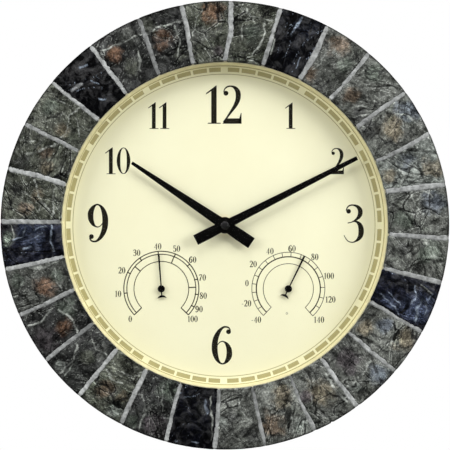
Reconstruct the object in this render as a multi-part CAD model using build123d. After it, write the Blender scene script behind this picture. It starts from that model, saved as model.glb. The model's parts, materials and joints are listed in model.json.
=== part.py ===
from build123d import *
import math
import os

# A wall clock with two weather dials, in a round casting that looks like slate blocks.
# Every piece is built lying on its back: X to the right, Y up the dial and Z out from
# the wall. The finished pieces are then stood up, so the wall is the plane Y = 0, the
# hands' axis runs through the origin and the dial looks along -Y.

# Fits
overrun = 1.0           # how far a cut runs past the face it opens
fit_gap = 0.05          # round fits: shafts in bearings, screws in their holes
seat_gap = 0.1          # loose seats

# Small round work, such as arbors, bearings and screws, is drawn with few sides
pin_sides = 12
cup_sides = 24

# Slate frame
case_radius = 177.8     # 14 inches across
frame_width = 49.0      # stones, from the opening to the rim
crown_share = 0.453     # of that width, from the opening to where the sloped face is highest
crown_rise = 2.0        # crown above the edge of the opening
shoulder_drop = 3.5     # shoulder below the crown
rim_chamfer = 5.0
lip_thickness = 4.2
outer_wall = 4.0
inner_wall = 7.0
top_wall = 5.0
mortar_depth = 1.2
mortar_width = 3.0

# Glass, dial and pan, stacked from the back to the lip of the frame
pan_back = 18.5
pan_thickness = 2.5
pan_edge_gap = 0.6      # pan's edge inside the wall that it is screwed to
dial_thickness = 1.0
spacer_height = 11.8
lens_thickness = 2.0
lens_overlap = 6.2      # glass behind the lip of the frame
disc_gap = 1.0          # round the lens and dial, inside the frame
spacer_wall = 1.8
spacer_front_inset = 0.2
spacer_slope = 1.3      # how much narrower the ring is at the dial

# Screws
pan_screw_count = 4
pan_screw_angle = 45.0
pan_screw_radius = 1.25
pan_screw_length = 8.0
screw_head_height = 1.4
screw_head_radius = 2.8
hanger_screw_spacing = 32.0
hanger_lug_width = 7.0
hanger_lug_overlap = 1.25   # how far the inner end of a rib runs into the wall above it
hanger_head_height = 1.1
hanger_screw_length = 8.0

# Hanger plate with its keyhole
hanger_back = 1.5
hanger_thickness = 1.2
hanger_width = 46.0
hanger_height = 17.0
keyhole_radius = 4.5
keyhole_slot = 4.2
keyhole_rise = 7.0
keyhole_drop = 2.5      # entry hole below the middle of the plate

# Quartz movement
movement_depth = 15.0
movement_wall = 1.3
movement_front_wall = 1.2
cover_thickness = 1.2
post_width = 3.0
post_inset = 3.2
post_low_drop = 8.0
post_high_rise = 15.0
battery_radius = 7.1
battery_length = 50.5
battery_nub_radius = 2.6
battery_nub_length = 1.3
battery_gap = 0.3
contact_thickness = 0.4
contact_width = 8.0
contact_height = 9.0
button_end_bulge = 0.6
flat_end_bulge = 1.3

# Train: modules, and how far above the cover each layer lies
train_module = 0.25
motion_module = 0.3     # the wheels that drive the hour hand
wheel_thickness = 0.8
arbor_radius = 0.45
pivot_radius = 0.3
pivot_length = 0.6
end_shake = 0.1
boss_radius = 0.9
cover_boss_height = 0.6
intermediate_lift = 1.3
rotor_pinion_lift = 1.1
rotor_pinion_height = 1.2
stator_lift = 3.2
stator_thickness = 0.8
magnet_radius = 2.4
magnet_lift = 2.8
magnet_height = 1.6
rotor_top_lift = 5.6
centre_lift = 6.0
intermediate_top_lift = 7.4
cannon_lift = 7.5
cannon_height = 1.2
work_lift = 7.7
work_pinion_height = 2.6
hour_lift = 9.9
hour_hub_drop = 0.4     # how far the hour pipe starts behind its wheel
minute_arbor_radius = 0.8
work_post_radius = 0.6
work_head_height = 0.5
knob_radius = 4.5
knob_height = 1.2
knob_clearance = 0.2
knob_shaft_radius = 1.2

# Teeth of the wheels
rotor_pinion_teeth = 6
intermediate_teeth = 54
intermediate_pinion_teeth = 6
centre_teeth = 60
cannon_teeth = 12
work_teeth = 36
work_pinion_teeth = 8
hour_teeth = 32
knob_pinion_teeth = 12
knob_grips = 16
tip_share = 0.8         # of the module, beyond the pitch circle
root_share = 1.15       # of the module, inside the pitch circle
top_share = 0.05        # half a tooth at its tip, of the pitch between teeth

# Where the arbors stand, in degrees anticlockwise from the right
intermediate_angle = 100.0
rotor_angle = 120.0
work_angle = 190.0
knob_angle = 150.0

# Motor and circuit
rotor_hole_gap = 0.6
stator_half_width = 16.0
stator_leg = 4.0
stator_below_rotor = 4.6
stator_above_rotor = 4.0
core_rise = 8.3         # coil above the rotor
core_height = 3.0
core_thickness = 0.8
core_overlap = 1.5      # leg past the core
coil_tube_height = 4.2
coil_tube_depth = 2.2
coil_radius = 3.0
coil_flange_size = 6.4
coil_flange = 1.0
coil_half_length = 10.0
stator_post_width = 3.0
stator_post_drop = 2.6  # posts below the rotor's axis
board_lift = 0.8
board_thickness = 0.8
board_width = 7.7
board_height = 18.0
board_edge_gap = 1.5
board_rise = 3.5
board_post_width = 2.4
board_post_inset = 2.0
chip_size = 4.0
chip_height = 0.9
crystal_radius = 1.0
crystal_length = 6.0

# Pipes, bushing and hands
minute_arbor_shoulder = 0.4  # thick part of the arbor behind its wheel
minute_pipe_radius = 1.55
minute_thread_radius = 1.3
minute_thread_length = 1.4
hour_pipe_radius = 2.5
hour_pipe_rise = 0.3
bushing_bore_gap = 0.1
bushing_radius = 4.0
bushing_rise = 3.5
nut_radius = 6.6
nut_height = 2.6
hand_gap = 1.0          # hour hand above the bushing
hour_thickness = 0.5
hour_length = 89.0
hour_tail = 25.5
hour_tail_width = 9.5
hour_neck_width = 7.3
hour_tip_width = 2.5
hour_hub_disc_radius = 6.6
minute_gap = 1.8        # minute hand above the hour hand
minute_thickness = 0.4
minute_tip_gap = 11.0   # from the minute hand's tip to the opening's edge, seen from the front
minute_tail = 26.0
minute_tail_width = 8.5
minute_neck_width = 6.5
minute_tip_width = 3.2
minute_hub_disc_radius = 6.0
neck_reach = 14.0       # the wide tail has narrowed to the neck this far past the hub
cap_radius = 3.6
cap_height = 2.3
cap_skirt = 0.9
cap_top_radius = 1.9
minute_clock_angle = 63.05
hour_clock_angle = 303.9

# Thermometer and hygrometer
gauge_offset = 50.6     # each dial's axis, across from and below the hands' axis
gauge_cup_radius = 20.0
gauge_cup_wall = 1.0
gauge_cup_depth = 10.0
gauge_arbor_radius = 0.6
gauge_foot_depth = 0.6
gauge_collet_radius = 2.0
gauge_dial_hole_radius = 1.4
coil_strip_thickness = 0.4
coil_strip_width = 6.0
coil_strip_lift = 1.6
coil_steps = 12         # straight stretches in one turn of the strip
thermometer_coil_pitch = 3.4
hygrometer_coil_pitch = 4.4
thermometer_turns = 3
hygrometer_turns = 2
anchor_post_width = 2.0
pointer_lift = 1.4      # above the dial
pointer_thickness = 0.3
pointer_hub_height = 0.9
pointer_hub_radius = 2.85
pointer_neck_width = 0.95
pointer_tip_width = 1.5
thermometer_pointer_length = 29.3
hygrometer_pointer_length = 27.8
pointer_stem_width = 1.0
crescent_near = 5.1     # from the axis to the crescent's back, belly and horns
crescent_far = 6.9
crescent_reach = 7.6
crescent_half_width = 3.7
thermometer_clock_angle = 26.1
hygrometer_clock_angle = -4.4

# Mortar joints, in degrees clockwise from twelve at the opening, the crown and the rim,
# and their widths there as shares of the mortar width
joint_width_shares = [
    (0.0, 1.8, 1.5, 1.05, 1.25, 1.2),
    (13.4, 14.0, 14.5, 0.85, 0.9, 1.05),
    (27.2, 27.8, 27.3, 1.15, 1.6, 0.8),
    (39.9, 40.3, 39.9, 0.95, 0.7, 0.95),
    (53.3, 53.3, 53.7, 0.95, 1.0, 0.8),
    (67.1, 66.8, 65.8, 0.55, 0.7, 0.95),
    (78.0, 78.9, 79.6, 1.25, 1.25, 1.2),
    (93.2, 93.3, 93.3, 0.8, 1.15, 1.2),
    (105.1, 105.0, 104.9, 0.85, 0.9, 1.05),
    (117.7, 118.2, 118.4, 0.75, 0.55, 0.8),
    (130.8, 130.8, 130.5, 0.7, 0.9, 0.8),
    (144.2, 144.1, 143.8, 0.7, 0.8, 1.4),
    (156.6, 156.9, 156.3, 0.5, 0.6, 1.05),
    (170.2, 170.1, 169.7, 0.45, 0.5, 0.7),
    (182.1, 182.1, 182.6, 0.7, 0.8, 0.8),
    (195.6, 195.7, 195.2, 0.6, 0.7, 0.7),
    (208.5, 208.2, 207.6, 0.95, 1.15, 0.8),
    (221.0, 220.8, 220.6, 0.85, 1.05, 0.95),
    (233.3, 233.2, 233.0, 0.6, 0.9, 1.05),
    (246.9, 246.4, 246.4, 0.95, 0.7, 1.05),
    (258.9, 258.6, 258.6, 0.75, 1.05, 0.95),
    (271.1, 271.0, 271.0, 1.05, 1.15, 1.05),
    (284.3, 284.9, 284.6, 1.05, 1.15, 1.05),
    (296.8, 296.9, 296.9, 0.7, 0.7, 0.95),
    (309.9, 309.7, 309.6, 0.95, 0.55, 0.8),
    (323.2, 323.2, 323.1, 0.85, 1.15, 0.8),
    (336.4, 337.0, 337.4, 0.7, 1.15, 0.7),
    (348.8, 349.1, 348.9, 0.75, 0.9, 1.2),
]

# Depths that follow from the sizes above, measured out from the wall
pan_seat = pan_back + pan_thickness
dial_front = pan_seat + dial_thickness
spacer_front = dial_front + spacer_height
lens_seat = spacer_front + lens_thickness
edge_height = lens_seat + lip_thickness
crown_height = edge_height + crown_rise
shoulder_height = crown_height - shoulder_drop

movement_front = pan_back
movement_back = movement_front - movement_depth
front_wall_back = movement_front - movement_front_wall
cover_front = movement_back + cover_thickness
low_arbor_end = cover_front + cover_boss_height + end_shake

bushing_front = dial_front + bushing_rise
hour_back = bushing_front + hand_gap
hour_front = hour_back + hour_thickness
minute_back = hour_front + minute_gap
minute_front = minute_back + minute_thickness
minute_pipe_end = minute_front + minute_thread_length
pointer_back = dial_front + pointer_lift

# Radii and places that follow
opening_radius = case_radius - frame_width
minute_length = opening_radius - minute_tip_gap
crown_radius = opening_radius + crown_share * frame_width
disc_radius = opening_radius + lens_overlap
lens_bore_radius = disc_radius + disc_gap
inner_wall_radius = lens_bore_radius + inner_wall
pan_radius = inner_wall_radius - pan_edge_gap
pan_screw_circle = lens_bore_radius + inner_wall / 2
rim_inside = case_radius - outer_wall
hanger_middle = (inner_wall_radius + rim_inside) / 2

hour_bore_radius = minute_pipe_radius + fit_gap
bushing_bore_radius = hour_pipe_radius + bushing_bore_gap

bulges = flat_end_bulge + button_end_bulge
battery_half_space = (battery_length + bulges) / 2 + contact_thickness + battery_gap
movement_half = battery_half_space + movement_wall
bay_half_height = battery_radius + battery_gap
bay_low = movement_wall - movement_half
bay_high = bay_low + 2 * bay_half_height
bay_middle = bay_low + bay_half_height
room_low = bay_high + movement_wall
room_high = battery_half_space
room_middle = (room_low + room_high) / 2
room_height = room_high - room_low
battery_depth = front_wall_back - seat_gap - battery_radius


def spot(distance, degrees, start=(0, 0)):
    """The place at a distance and an angle from another, anticlockwise from the right."""
    turn = math.radians(degrees)
    return (start[0] + distance * math.cos(turn), start[1] + distance * math.sin(turn))


def clock_spot(distance, degrees):
    """The same from the hands' axis, with the angle read as on a dial."""
    return spot(distance, 90 - degrees)


def mesh_distance(teeth_a, teeth_b, module):
    return module * (teeth_a + teeth_b) / 2


# The train's centres: each pair of wheels stands its pitch radii apart
centre = (0, 0)
intermediate_distance = mesh_distance(centre_teeth, intermediate_pinion_teeth, train_module)
intermediate_place = spot(intermediate_distance, intermediate_angle)
rotor_distance = mesh_distance(intermediate_teeth, rotor_pinion_teeth, train_module)
rotor_place = spot(rotor_distance, rotor_angle, intermediate_place)
work_distance = mesh_distance(cannon_teeth, work_teeth, motion_module)
hour_module = 2 * work_distance / (work_pinion_teeth + hour_teeth)
work_place = spot(work_distance, work_angle)
knob_distance = mesh_distance(work_teeth, knob_pinion_teeth, motion_module)
knob_place = spot(knob_distance, knob_angle, work_place)
core_y = rotor_place[1] + core_rise
stator_low = rotor_place[1] - stator_below_rotor
stator_high = rotor_place[1] + stator_above_rotor
core_back = cover_front + stator_lift + stator_thickness

gauge_places = {
    "thermometer": (gauge_offset, -gauge_offset),
    "hygrometer": (-gauge_offset, -gauge_offset),
}


def disc(radius, low, high, at=centre):
    """A round plate or shaft from one depth to another."""
    return Pos(at[0], at[1], low) * extrude(Circle(radius), high - low)


def ring(outer, inner, low, high, at=centre):
    return Pos(at[0], at[1], low) * extrude(Circle(outer) - Circle(inner), high - low)


def pin(radius, low, high, at=centre):
    """Small round work, drawn with few sides."""
    return Pos(at[0], at[1], low) * extrude(RegularPolygon(radius, pin_sides), high - low)


def pin_hole(radius, low, high, at=centre):
    """A hole whose flats just clear a pin of this radius with its fit."""
    outline = RegularPolygon(radius + fit_gap, pin_sides, major_radius=False)
    return Pos(at[0], at[1], low) * extrude(outline, high - low)


def slab(width, height, low, high, at=centre):
    return Pos(at[0], at[1], low) * extrude(Rectangle(width, height), high - low)


def turned(outline, at=centre):
    """A piece turned about its own axis, from (radius, depth) points."""
    wire = Polyline([(radius, 0, depth) for radius, depth in outline], close=True)
    return Pos(at[0], at[1], 0) * revolve(make_face(wire), Axis.Z)


def rod_along_x(radius, left, right, height, depth):
    return Pos(left, height, depth) * Rot(0, 90, 0) * extrude(Circle(radius), right - left)


def screw(at, head_back, head_height, length):
    """A flat head towards the wall, and a shank towards the dial."""
    shank_back = head_back + head_height
    head = pin(screw_head_radius, head_back, shank_back, at)
    return head + pin(pan_screw_radius, shank_back, shank_back + length, at)


# Slate frame


def frame_section(start_radius, inset):
    """Front of the casting out to its rim, at the face or as deep as the mortar."""
    rim = case_radius - inset
    shoulder = shoulder_height - inset
    return [
        (start_radius, edge_height - inset),
        (crown_radius, crown_height - inset),
        (rim - rim_chamfer, shoulder),
        (rim, shoulder - rim_chamfer),
    ]


def joint_block(inner, middle, outer, inner_share, middle_share, outer_share):
    """One mortar joint seen from the front, as a block through the whole depth."""
    rows = (
        (opening_radius - overrun, inner, inner_share),
        (crown_radius, middle, middle_share),
        (case_radius + overrun, outer, outer_share),
    )
    sides = ([], [])
    for radius, degrees, share in rows:
        x, y = clock_spot(radius, degrees)
        across_x, across_y = clock_spot(share * mortar_width / 2, degrees + 90)
        sides[0].append((x - across_x, y - across_y))
        sides[1].append((x + across_x, y + across_y))
    outline = make_face(Polyline(sides[0] + sides[1][::-1], close=True))
    return Pos(0, 0, -overrun) * extrude(outline, crown_height + 2 * overrun)


hanger_screw_places = [
    (-hanger_screw_spacing / 2, hanger_middle),
    (hanger_screw_spacing / 2, hanger_middle),
]
pan_screw_places = [
    spot(pan_screw_circle, pan_screw_angle + turn * 360 / pan_screw_count)
    for turn in range(pan_screw_count)
]
hanger_front = hanger_back + hanger_thickness


def hanger_lug(x):
    """A rib across the hollow behind the stones, for one of the hanger's screws."""
    inner = hanger_middle - hanger_height / 2
    outer = rim_inside + outer_wall / 2
    profile = make_face(
        Polyline(
            [
                (x, inner, hanger_front),
                (x, outer, hanger_front),
                (x, outer, shoulder_height - top_wall),
                (x, inner, crown_height - top_wall + hanger_lug_overlap),
            ],
            close=True,
        )
    )
    return extrude(profile, hanger_lug_width / 2, both=True)


def slate_frame():
    casting = turned(
        [(opening_radius, lens_seat)]
        + frame_section(opening_radius, 0)
        + [
            (case_radius, 0),
            (rim_inside, 0),
            (rim_inside, shoulder_height - top_wall),
            (crown_radius, crown_height - top_wall),
            (inner_wall_radius, edge_height - top_wall),
            (inner_wall_radius, pan_seat),
            (lens_bore_radius, pan_seat),
            (lens_bore_radius, lens_seat),
        ]
    )
    mortar_start = opening_radius - 2 * overrun
    mortar = turned(
        [(mortar_start, -overrun)]
        + frame_section(mortar_start, mortar_depth)
        + [(case_radius - mortar_depth, -overrun)]
    )
    casting += [hanger_lug(x) for x, y in hanger_screw_places]
    for place in pan_screw_places:
        hole_end = pan_back + pan_screw_length + seat_gap
        casting -= pin_hole(pan_screw_radius, pan_seat - overrun, hole_end, place)
    for place in hanger_screw_places:
        hole_end = hanger_back + hanger_screw_length + seat_gap
        casting -= pin_hole(pan_screw_radius, hanger_back, hole_end, place)
    grooves = Part() + [joint_block(*joint) for joint in joint_width_shares]
    return casting - (grooves - mortar)


# Glass, dial and pan


def lens():
    return disc(disc_radius, spacer_front, lens_seat)


def dial_spacer_ring():
    """The gilt ring inside the glass: a sloping wall with a flange under the glass."""
    front = opening_radius - spacer_front_inset
    back = front - spacer_slope
    return turned(
        [
            (back, dial_front),
            (front, spacer_front),
            (disc_radius, spacer_front),
            (disc_radius, spacer_front - spacer_wall),
            (front + spacer_wall, spacer_front - spacer_wall),
            (back + spacer_wall, dial_front),
        ]
    )


def dial_plate():
    plate = disc(disc_radius, pan_seat, dial_front)
    plate -= disc(bushing_radius + fit_gap, pan_seat - overrun, dial_front + overrun)
    for place in gauge_places.values():
        plate -= disc(gauge_dial_hole_radius, pan_seat - overrun, dial_front + overrun, place)
    return plate


def back_pan():
    pan = disc(pan_radius, pan_back, pan_seat)
    pan -= disc(bushing_radius + fit_gap, pan_back - overrun, pan_seat + overrun)
    for place in pan_screw_places:
        pan -= pin_hole(pan_screw_radius, pan_back - overrun, pan_seat + overrun, place)
    for place in gauge_places.values():
        pan -= pin_hole(gauge_arbor_radius, pan_back - overrun, pan_seat + overrun, place)
    return pan


def pan_screws():
    head_back = pan_back - screw_head_height
    return [screw(place, head_back, screw_head_height, pan_screw_length) for place in pan_screw_places]


def hanger_plate():
    low = hanger_back - overrun
    high = hanger_front + overrun
    entry = hanger_middle - keyhole_drop
    slot_end = entry + keyhole_rise
    plate = slab(hanger_width, hanger_height, hanger_back, hanger_front, (0, hanger_middle))
    plate -= disc(keyhole_radius, low, high, (0, entry))
    plate -= disc(keyhole_slot / 2, low, high, (0, slot_end))
    plate -= slab(keyhole_slot, keyhole_rise, low, high, (0, (entry + slot_end) / 2))
    for place in hanger_screw_places:
        plate -= pin_hole(pan_screw_radius, low, high, place)
    return plate


def hanger_screws():
    head_back = hanger_back - hanger_head_height
    return [
        screw(place, head_back, hanger_head_height, hanger_screw_length)
        for place in hanger_screw_places
    ]


# Wheels


def toothed(teeth, module, low, high, at=centre, phase=0, bore=0):
    """A spur wheel with straight-sided teeth, one of them at the angle of its phase."""
    pitch_radius = module * teeth / 2
    tip = pitch_radius + tip_share * module
    root = pitch_radius - root_share * module
    step = 360 / teeth
    outline = []
    for tooth in range(teeth):
        middle = phase + tooth * step
        outline.append(spot(tip, middle - top_share * step))
        outline.append(spot(tip, middle + top_share * step))
        outline.append(spot(root, middle + step / 2))
    face = make_face(Polyline(outline, close=True))
    if bore:
        face -= Circle(bore)
    return Pos(at[0], at[1], low) * extrude(face, high - low)


def mate_phase(teeth_a, phase_a, direction, teeth_b):
    """The phase that puts a gap of the second wheel on the first wheel's tooth."""
    ahead = phase_a - direction
    return direction + 180 - ahead * teeth_a / teeth_b + 180 / teeth_b


def arbor(at, low, high):
    """A shaft between two thinner pivots."""
    shaft = pin(arbor_radius, low, high, at)
    shaft += pin(pivot_radius, low - pivot_length, low, at)
    return shaft + pin(pivot_radius, high, high + pivot_length, at)


work_to_centre = work_angle + 180
rotor_arbor_top = cover_front + rotor_top_lift
intermediate_arbor_top = cover_front + intermediate_top_lift
work_back = cover_front + work_lift
work_pinion_back = work_back + wheel_thickness
work_front = work_pinion_back + work_pinion_height
knob_pinion_back = cover_front + cannon_lift
knob_pinion_front = knob_pinion_back + cannon_height


def centre_wheel():
    """The large wheel that turns once an hour."""
    low = cover_front + centre_lift
    return toothed(
        centre_teeth,
        train_module,
        low,
        low + wheel_thickness,
        phase=intermediate_angle,
        bore=minute_pipe_radius,
    )


def minute_arbor():
    """The arbor that carries the minute hand, with the small wheel that drives the hour hand."""
    shoulder = cover_front + centre_lift - minute_arbor_shoulder
    low = cover_front + cannon_lift
    shaft = pin(pivot_radius, low_arbor_end - pivot_length, low_arbor_end)
    shaft += pin(minute_arbor_radius, low_arbor_end, shoulder)
    shaft += disc(minute_pipe_radius, shoulder, minute_front)
    shaft += disc(minute_thread_radius, minute_front, minute_pipe_end)
    return shaft + toothed(
        cannon_teeth,
        motion_module,
        low,
        low + cannon_height,
        phase=mate_phase(work_teeth, work_to_centre, work_to_centre, cannon_teeth),
    )


def intermediate_wheel():
    low = cover_front + intermediate_lift
    pinion_low = cover_front + centre_lift
    wheel = arbor(intermediate_place, low_arbor_end, intermediate_arbor_top)
    wheel += toothed(
        intermediate_teeth,
        train_module,
        low,
        low + wheel_thickness,
        intermediate_place,
        rotor_angle,
    )
    return wheel + toothed(
        intermediate_pinion_teeth,
        train_module,
        pinion_low,
        pinion_low + wheel_thickness,
        intermediate_place,
        mate_phase(centre_teeth, intermediate_angle, intermediate_angle, intermediate_pinion_teeth),
    )


def rotor_pinion():
    low = cover_front + rotor_pinion_lift
    return arbor(rotor_place, low_arbor_end, rotor_arbor_top) + toothed(
        rotor_pinion_teeth,
        train_module,
        low,
        low + rotor_pinion_height,
        rotor_place,
        mate_phase(intermediate_teeth, rotor_angle, rotor_angle, rotor_pinion_teeth),
    )


def rotor_magnet():
    low = cover_front + magnet_lift
    magnet = disc(magnet_radius, low, low + magnet_height, rotor_place)
    return magnet - pin(arbor_radius, low - overrun, low + magnet_height + overrun, rotor_place)


def minute_work_wheel():
    """The wheel and pinion on the case's post that drive the hour wheel."""
    wheel = toothed(
        work_teeth,
        motion_module,
        work_back,
        work_pinion_back,
        work_place,
        work_to_centre,
    )
    wheel += toothed(
        work_pinion_teeth,
        hour_module,
        work_pinion_back,
        work_front,
        work_place,
        work_to_centre,
    )
    return wheel - pin_hole(work_post_radius, work_back - overrun, work_front + overrun, work_place)


def hour_wheel():
    low = cover_front + hour_lift
    wheel = toothed(
        hour_teeth,
        hour_module,
        low,
        low + wheel_thickness,
        phase=mate_phase(work_pinion_teeth, work_to_centre, work_to_centre, hour_teeth),
        bore=hour_bore_radius,
    )
    return wheel + ring(
        hour_pipe_radius,
        hour_bore_radius,
        low - hour_hub_drop,
        hour_front + hour_pipe_rise,
    )


def set_knob():
    """The hand-setting knob behind the movement, on a shaft that reaches the motion work."""
    knob_front = movement_back - knob_clearance
    grip_module = 2 * knob_radius / (knob_grips + 2 * tip_share)
    knob = toothed(knob_grips, grip_module, knob_front - knob_height, knob_front, knob_place)
    knob += pin(knob_shaft_radius, knob_front, knob_pinion_back, knob_place)
    knob += toothed(
        knob_pinion_teeth,
        motion_module,
        knob_pinion_back,
        knob_pinion_front,
        knob_place,
        mate_phase(work_teeth, work_to_centre, knob_angle, knob_pinion_teeth),
    )
    return knob + pin(pivot_radius, knob_pinion_front, knob_pinion_front + pivot_length, knob_place)


# Movement housing


post_places = [
    (side * (movement_half - movement_wall - post_inset), height)
    for side in (-1, 1)
    for height in (-post_low_drop, post_high_rise)
]
stator_post_places = [
    (side * (stator_half_width - stator_leg / 2), rotor_place[1] - stator_post_drop)
    for side in (-1, 1)
]
stator_front = cover_front + stator_lift + stator_thickness


def movement_case():
    """The box with its battery bay, its bearings, and the threaded pipe through the dial."""
    open_back = movement_back - overrun
    pocket = front_wall_back + fit_gap
    case = slab(2 * movement_half, 2 * movement_half, movement_back, movement_front)
    case -= slab(2 * battery_half_space, room_height, open_back, front_wall_back, (0, room_middle))
    bay = slab(2 * battery_half_space, 2 * bay_half_height, open_back, front_wall_back, (0, bay_middle))
    case -= bay
    case += disc(bushing_radius, front_wall_back, bushing_front)
    case -= disc(bushing_bore_radius, front_wall_back - overrun, bushing_front + overrun)
    case += [slab(post_width, post_width, cover_front, pocket, place) for place in post_places]
    for place in stator_post_places:
        case += slab(stator_post_width, stator_post_width, stator_front, pocket, place)
    bearings = (
        (intermediate_place, intermediate_arbor_top),
        (rotor_place, rotor_arbor_top),
        (knob_place, knob_pinion_front),
    )
    for place, shoulder in bearings:
        face = shoulder + end_shake
        case += pin(boss_radius, face, pocket, place)
        case -= pin_hole(pivot_radius, face - overrun, face + pivot_length, place)
    case += pin(boss_radius, work_front + end_shake, pocket, work_place)
    post_end = work_back - end_shake
    case += pin(work_post_radius, post_end, pocket, work_place)
    case += pin(boss_radius, post_end - work_head_height, post_end, work_place)
    return case


def movement_cover():
    width = 2 * (battery_half_space - seat_gap)
    height = room_height - 2 * seat_gap
    cover = slab(width, height, movement_back, cover_front, (0, room_middle))
    stator_back = stator_front - stator_thickness
    for place in stator_post_places:
        cover += slab(stator_post_width, stator_post_width, cover_front, stator_back, place)
    for place in board_post_places:
        cover += slab(board_post_width, board_post_width, cover_front, board_back, place)
    for place in (centre, intermediate_place, rotor_place):
        cover += pin(boss_radius, cover_front, cover_front + cover_boss_height, place)
        hole_end = cover_front + cover_boss_height + overrun
        cover -= pin_hole(pivot_radius, low_arbor_end - pivot_length - end_shake, hole_end, place)
    return cover - pin_hole(knob_shaft_radius, movement_back - overrun, cover_front + overrun, knob_place)


# Motor and circuit


def stator():
    low = cover_front + stator_lift
    high = stator_front
    leg_high = core_y + core_height / 2 + core_overlap
    plate_middle = (0, (stator_low + stator_high) / 2)
    plate = slab(2 * stator_half_width, stator_high - stator_low, low, high, plate_middle)
    for side in (-1, 1):
        leg_middle = (side * (stator_half_width - stator_leg / 2), (stator_low + leg_high) / 2)
        plate += slab(stator_leg, leg_high - stator_low, low, high, leg_middle)
    return plate - disc(magnet_radius + rotor_hole_gap, low - overrun, high + overrun, rotor_place)


def coil_core():
    return slab(2 * stator_half_width, core_height, core_back, core_back + core_thickness, (0, core_y))


core_middle = core_back + core_thickness / 2


def block_along_x(height, depth, left, right):
    """A block round the coil's core, between two places along it."""
    low = core_middle - depth / 2
    return slab(right - left, height, low, low + depth, ((left + right) / 2, core_y))


def coil_bobbin():
    end = coil_half_length
    bobbin = block_along_x(coil_tube_height, coil_tube_depth, -end, end)
    bobbin += block_along_x(coil_flange_size, coil_flange_size, -end, coil_flange - end)
    bobbin += block_along_x(coil_flange_size, coil_flange_size, end - coil_flange, end)
    return bobbin - block_along_x(core_height, core_thickness, -end - overrun, end + overrun)


def coil_winding():
    end = coil_half_length - coil_flange
    winding = rod_along_x(coil_radius, -end, end, core_y, core_middle)
    return winding - block_along_x(coil_tube_height, coil_tube_depth, -end - overrun, end + overrun)


board_middle = (battery_half_space - board_edge_gap - board_width / 2, board_rise)
board_post_places = [
    (board_middle[0], board_middle[1] + side * (board_height / 2 - board_post_inset)) for side in (-1, 1)
]
board_back = cover_front + board_lift
board_front = board_back + board_thickness
chip_place = (board_middle[0], board_middle[1] - board_height / 4)


def circuit_board():
    """The board with its chip."""
    board = slab(board_width, board_height, board_back, board_front, board_middle)
    return board + slab(chip_size, chip_size, board_front, board_front + chip_height, chip_place)


def quartz_crystal():
    can = extrude(Circle(crystal_radius), crystal_length)
    start = chip_place[1] + chip_size / 2 + crystal_radius
    return Pos(board_middle[0], start, board_front + crystal_radius) * Rot(-90, 0, 0) * can


def battery_contact(side, bulge):
    """A sprung strip at one end of the battery, bent towards it."""
    wall = side * battery_half_space
    face = wall - side * contact_thickness
    low = battery_depth - contact_height / 2
    high = battery_depth + contact_height / 2
    outline = make_face(
        Polyline(
            [
                (wall, 0, low),
                (wall, 0, high),
                (face, 0, high),
                (face - side * bulge, 0, battery_depth),
                (face, 0, low),
            ],
            close=True,
        )
    )
    return Pos(0, bay_middle, 0) * extrude(outline, contact_width / 2, both=True)


def aa_battery():
    start = -battery_half_space + contact_thickness + flat_end_bulge + battery_gap
    body_end = start + battery_length - battery_nub_length
    body = rod_along_x(battery_radius, start, body_end, bay_middle, battery_depth)
    nub = rod_along_x(battery_nub_radius, body_end, start + battery_length, bay_middle, battery_depth)
    return body + nub


# Nuts


def bushing_nut():
    outline = RegularPolygon(nut_radius, 6) - Circle(bushing_radius)
    return Pos(0, 0, dial_front) * extrude(outline, nut_height)


def hand_cap_nut():
    """The bright cap that holds the minute hand and hides the end of its arbor."""
    bore = minute_thread_radius
    bore_end = minute_pipe_end + fit_gap
    top = minute_front + cap_height
    return turned(
        [
            (bore, minute_front),
            (cap_radius, minute_front),
            (cap_radius, minute_front + cap_skirt),
            (cap_top_radius, top),
            (0, top),
            (0, bore_end),
            (bore, bore_end),
        ]
    )


# Hands


def hand_blade(length, tail, tail_width, neck_width, tip_width, hub_radius, bore):
    """A baton pointing at twelve: wide tail, neck just past the hub, narrow square tip."""
    half = [
        (tail_width / 2, -tail),
        (tail_width / 2, -neck_reach),
        (neck_width / 2, neck_reach),
        (tip_width / 2, length),
    ]
    mirrored = [(-x, y) for x, y in half[::-1]]
    return make_face(Polyline(half + mirrored, close=True)) + Circle(hub_radius) - Circle(bore)


def hour_hand():
    blade = hand_blade(
        hour_length,
        hour_tail,
        hour_tail_width,
        hour_neck_width,
        hour_tip_width,
        hour_hub_disc_radius,
        hour_pipe_radius,
    )
    return Rot(0, 0, -hour_clock_angle) * Pos(0, 0, hour_back) * extrude(blade, hour_thickness)


def minute_hand():
    blade = hand_blade(
        minute_length,
        minute_tail,
        minute_tail_width,
        minute_neck_width,
        minute_tip_width,
        minute_hub_disc_radius,
        minute_pipe_radius,
    )
    return Rot(0, 0, -minute_clock_angle) * Pos(0, 0, minute_back) * extrude(blade, minute_thickness)


# Thermometer and hygrometer


cup_back = pan_back - gauge_cup_depth
cup_floor = cup_back + gauge_cup_wall
strip_back = cup_floor + coil_strip_lift
strip_front = strip_back + coil_strip_width
strip_start = gauge_collet_radius + coil_strip_thickness / 2


def gauge_cup(pitch, turns):
    """The cup behind one weather dial, with the post that holds the strip's outer end."""
    hollow = RegularPolygon(gauge_cup_radius - gauge_cup_wall, cup_sides)
    cup = Pos(0, 0, cup_back) * extrude(RegularPolygon(gauge_cup_radius, cup_sides), gauge_cup_depth)
    cup -= Pos(0, 0, cup_floor) * extrude(hollow, gauge_cup_depth)
    cup += pin(gauge_collet_radius, cup_back, cup_floor + gauge_foot_depth)
    cup -= pin_hole(gauge_arbor_radius, cup_floor, strip_back)
    post_place = (strip_start + turns * pitch, anchor_post_width / 2)
    return cup + slab(anchor_post_width, anchor_post_width, cup_back, strip_front, post_place)


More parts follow.
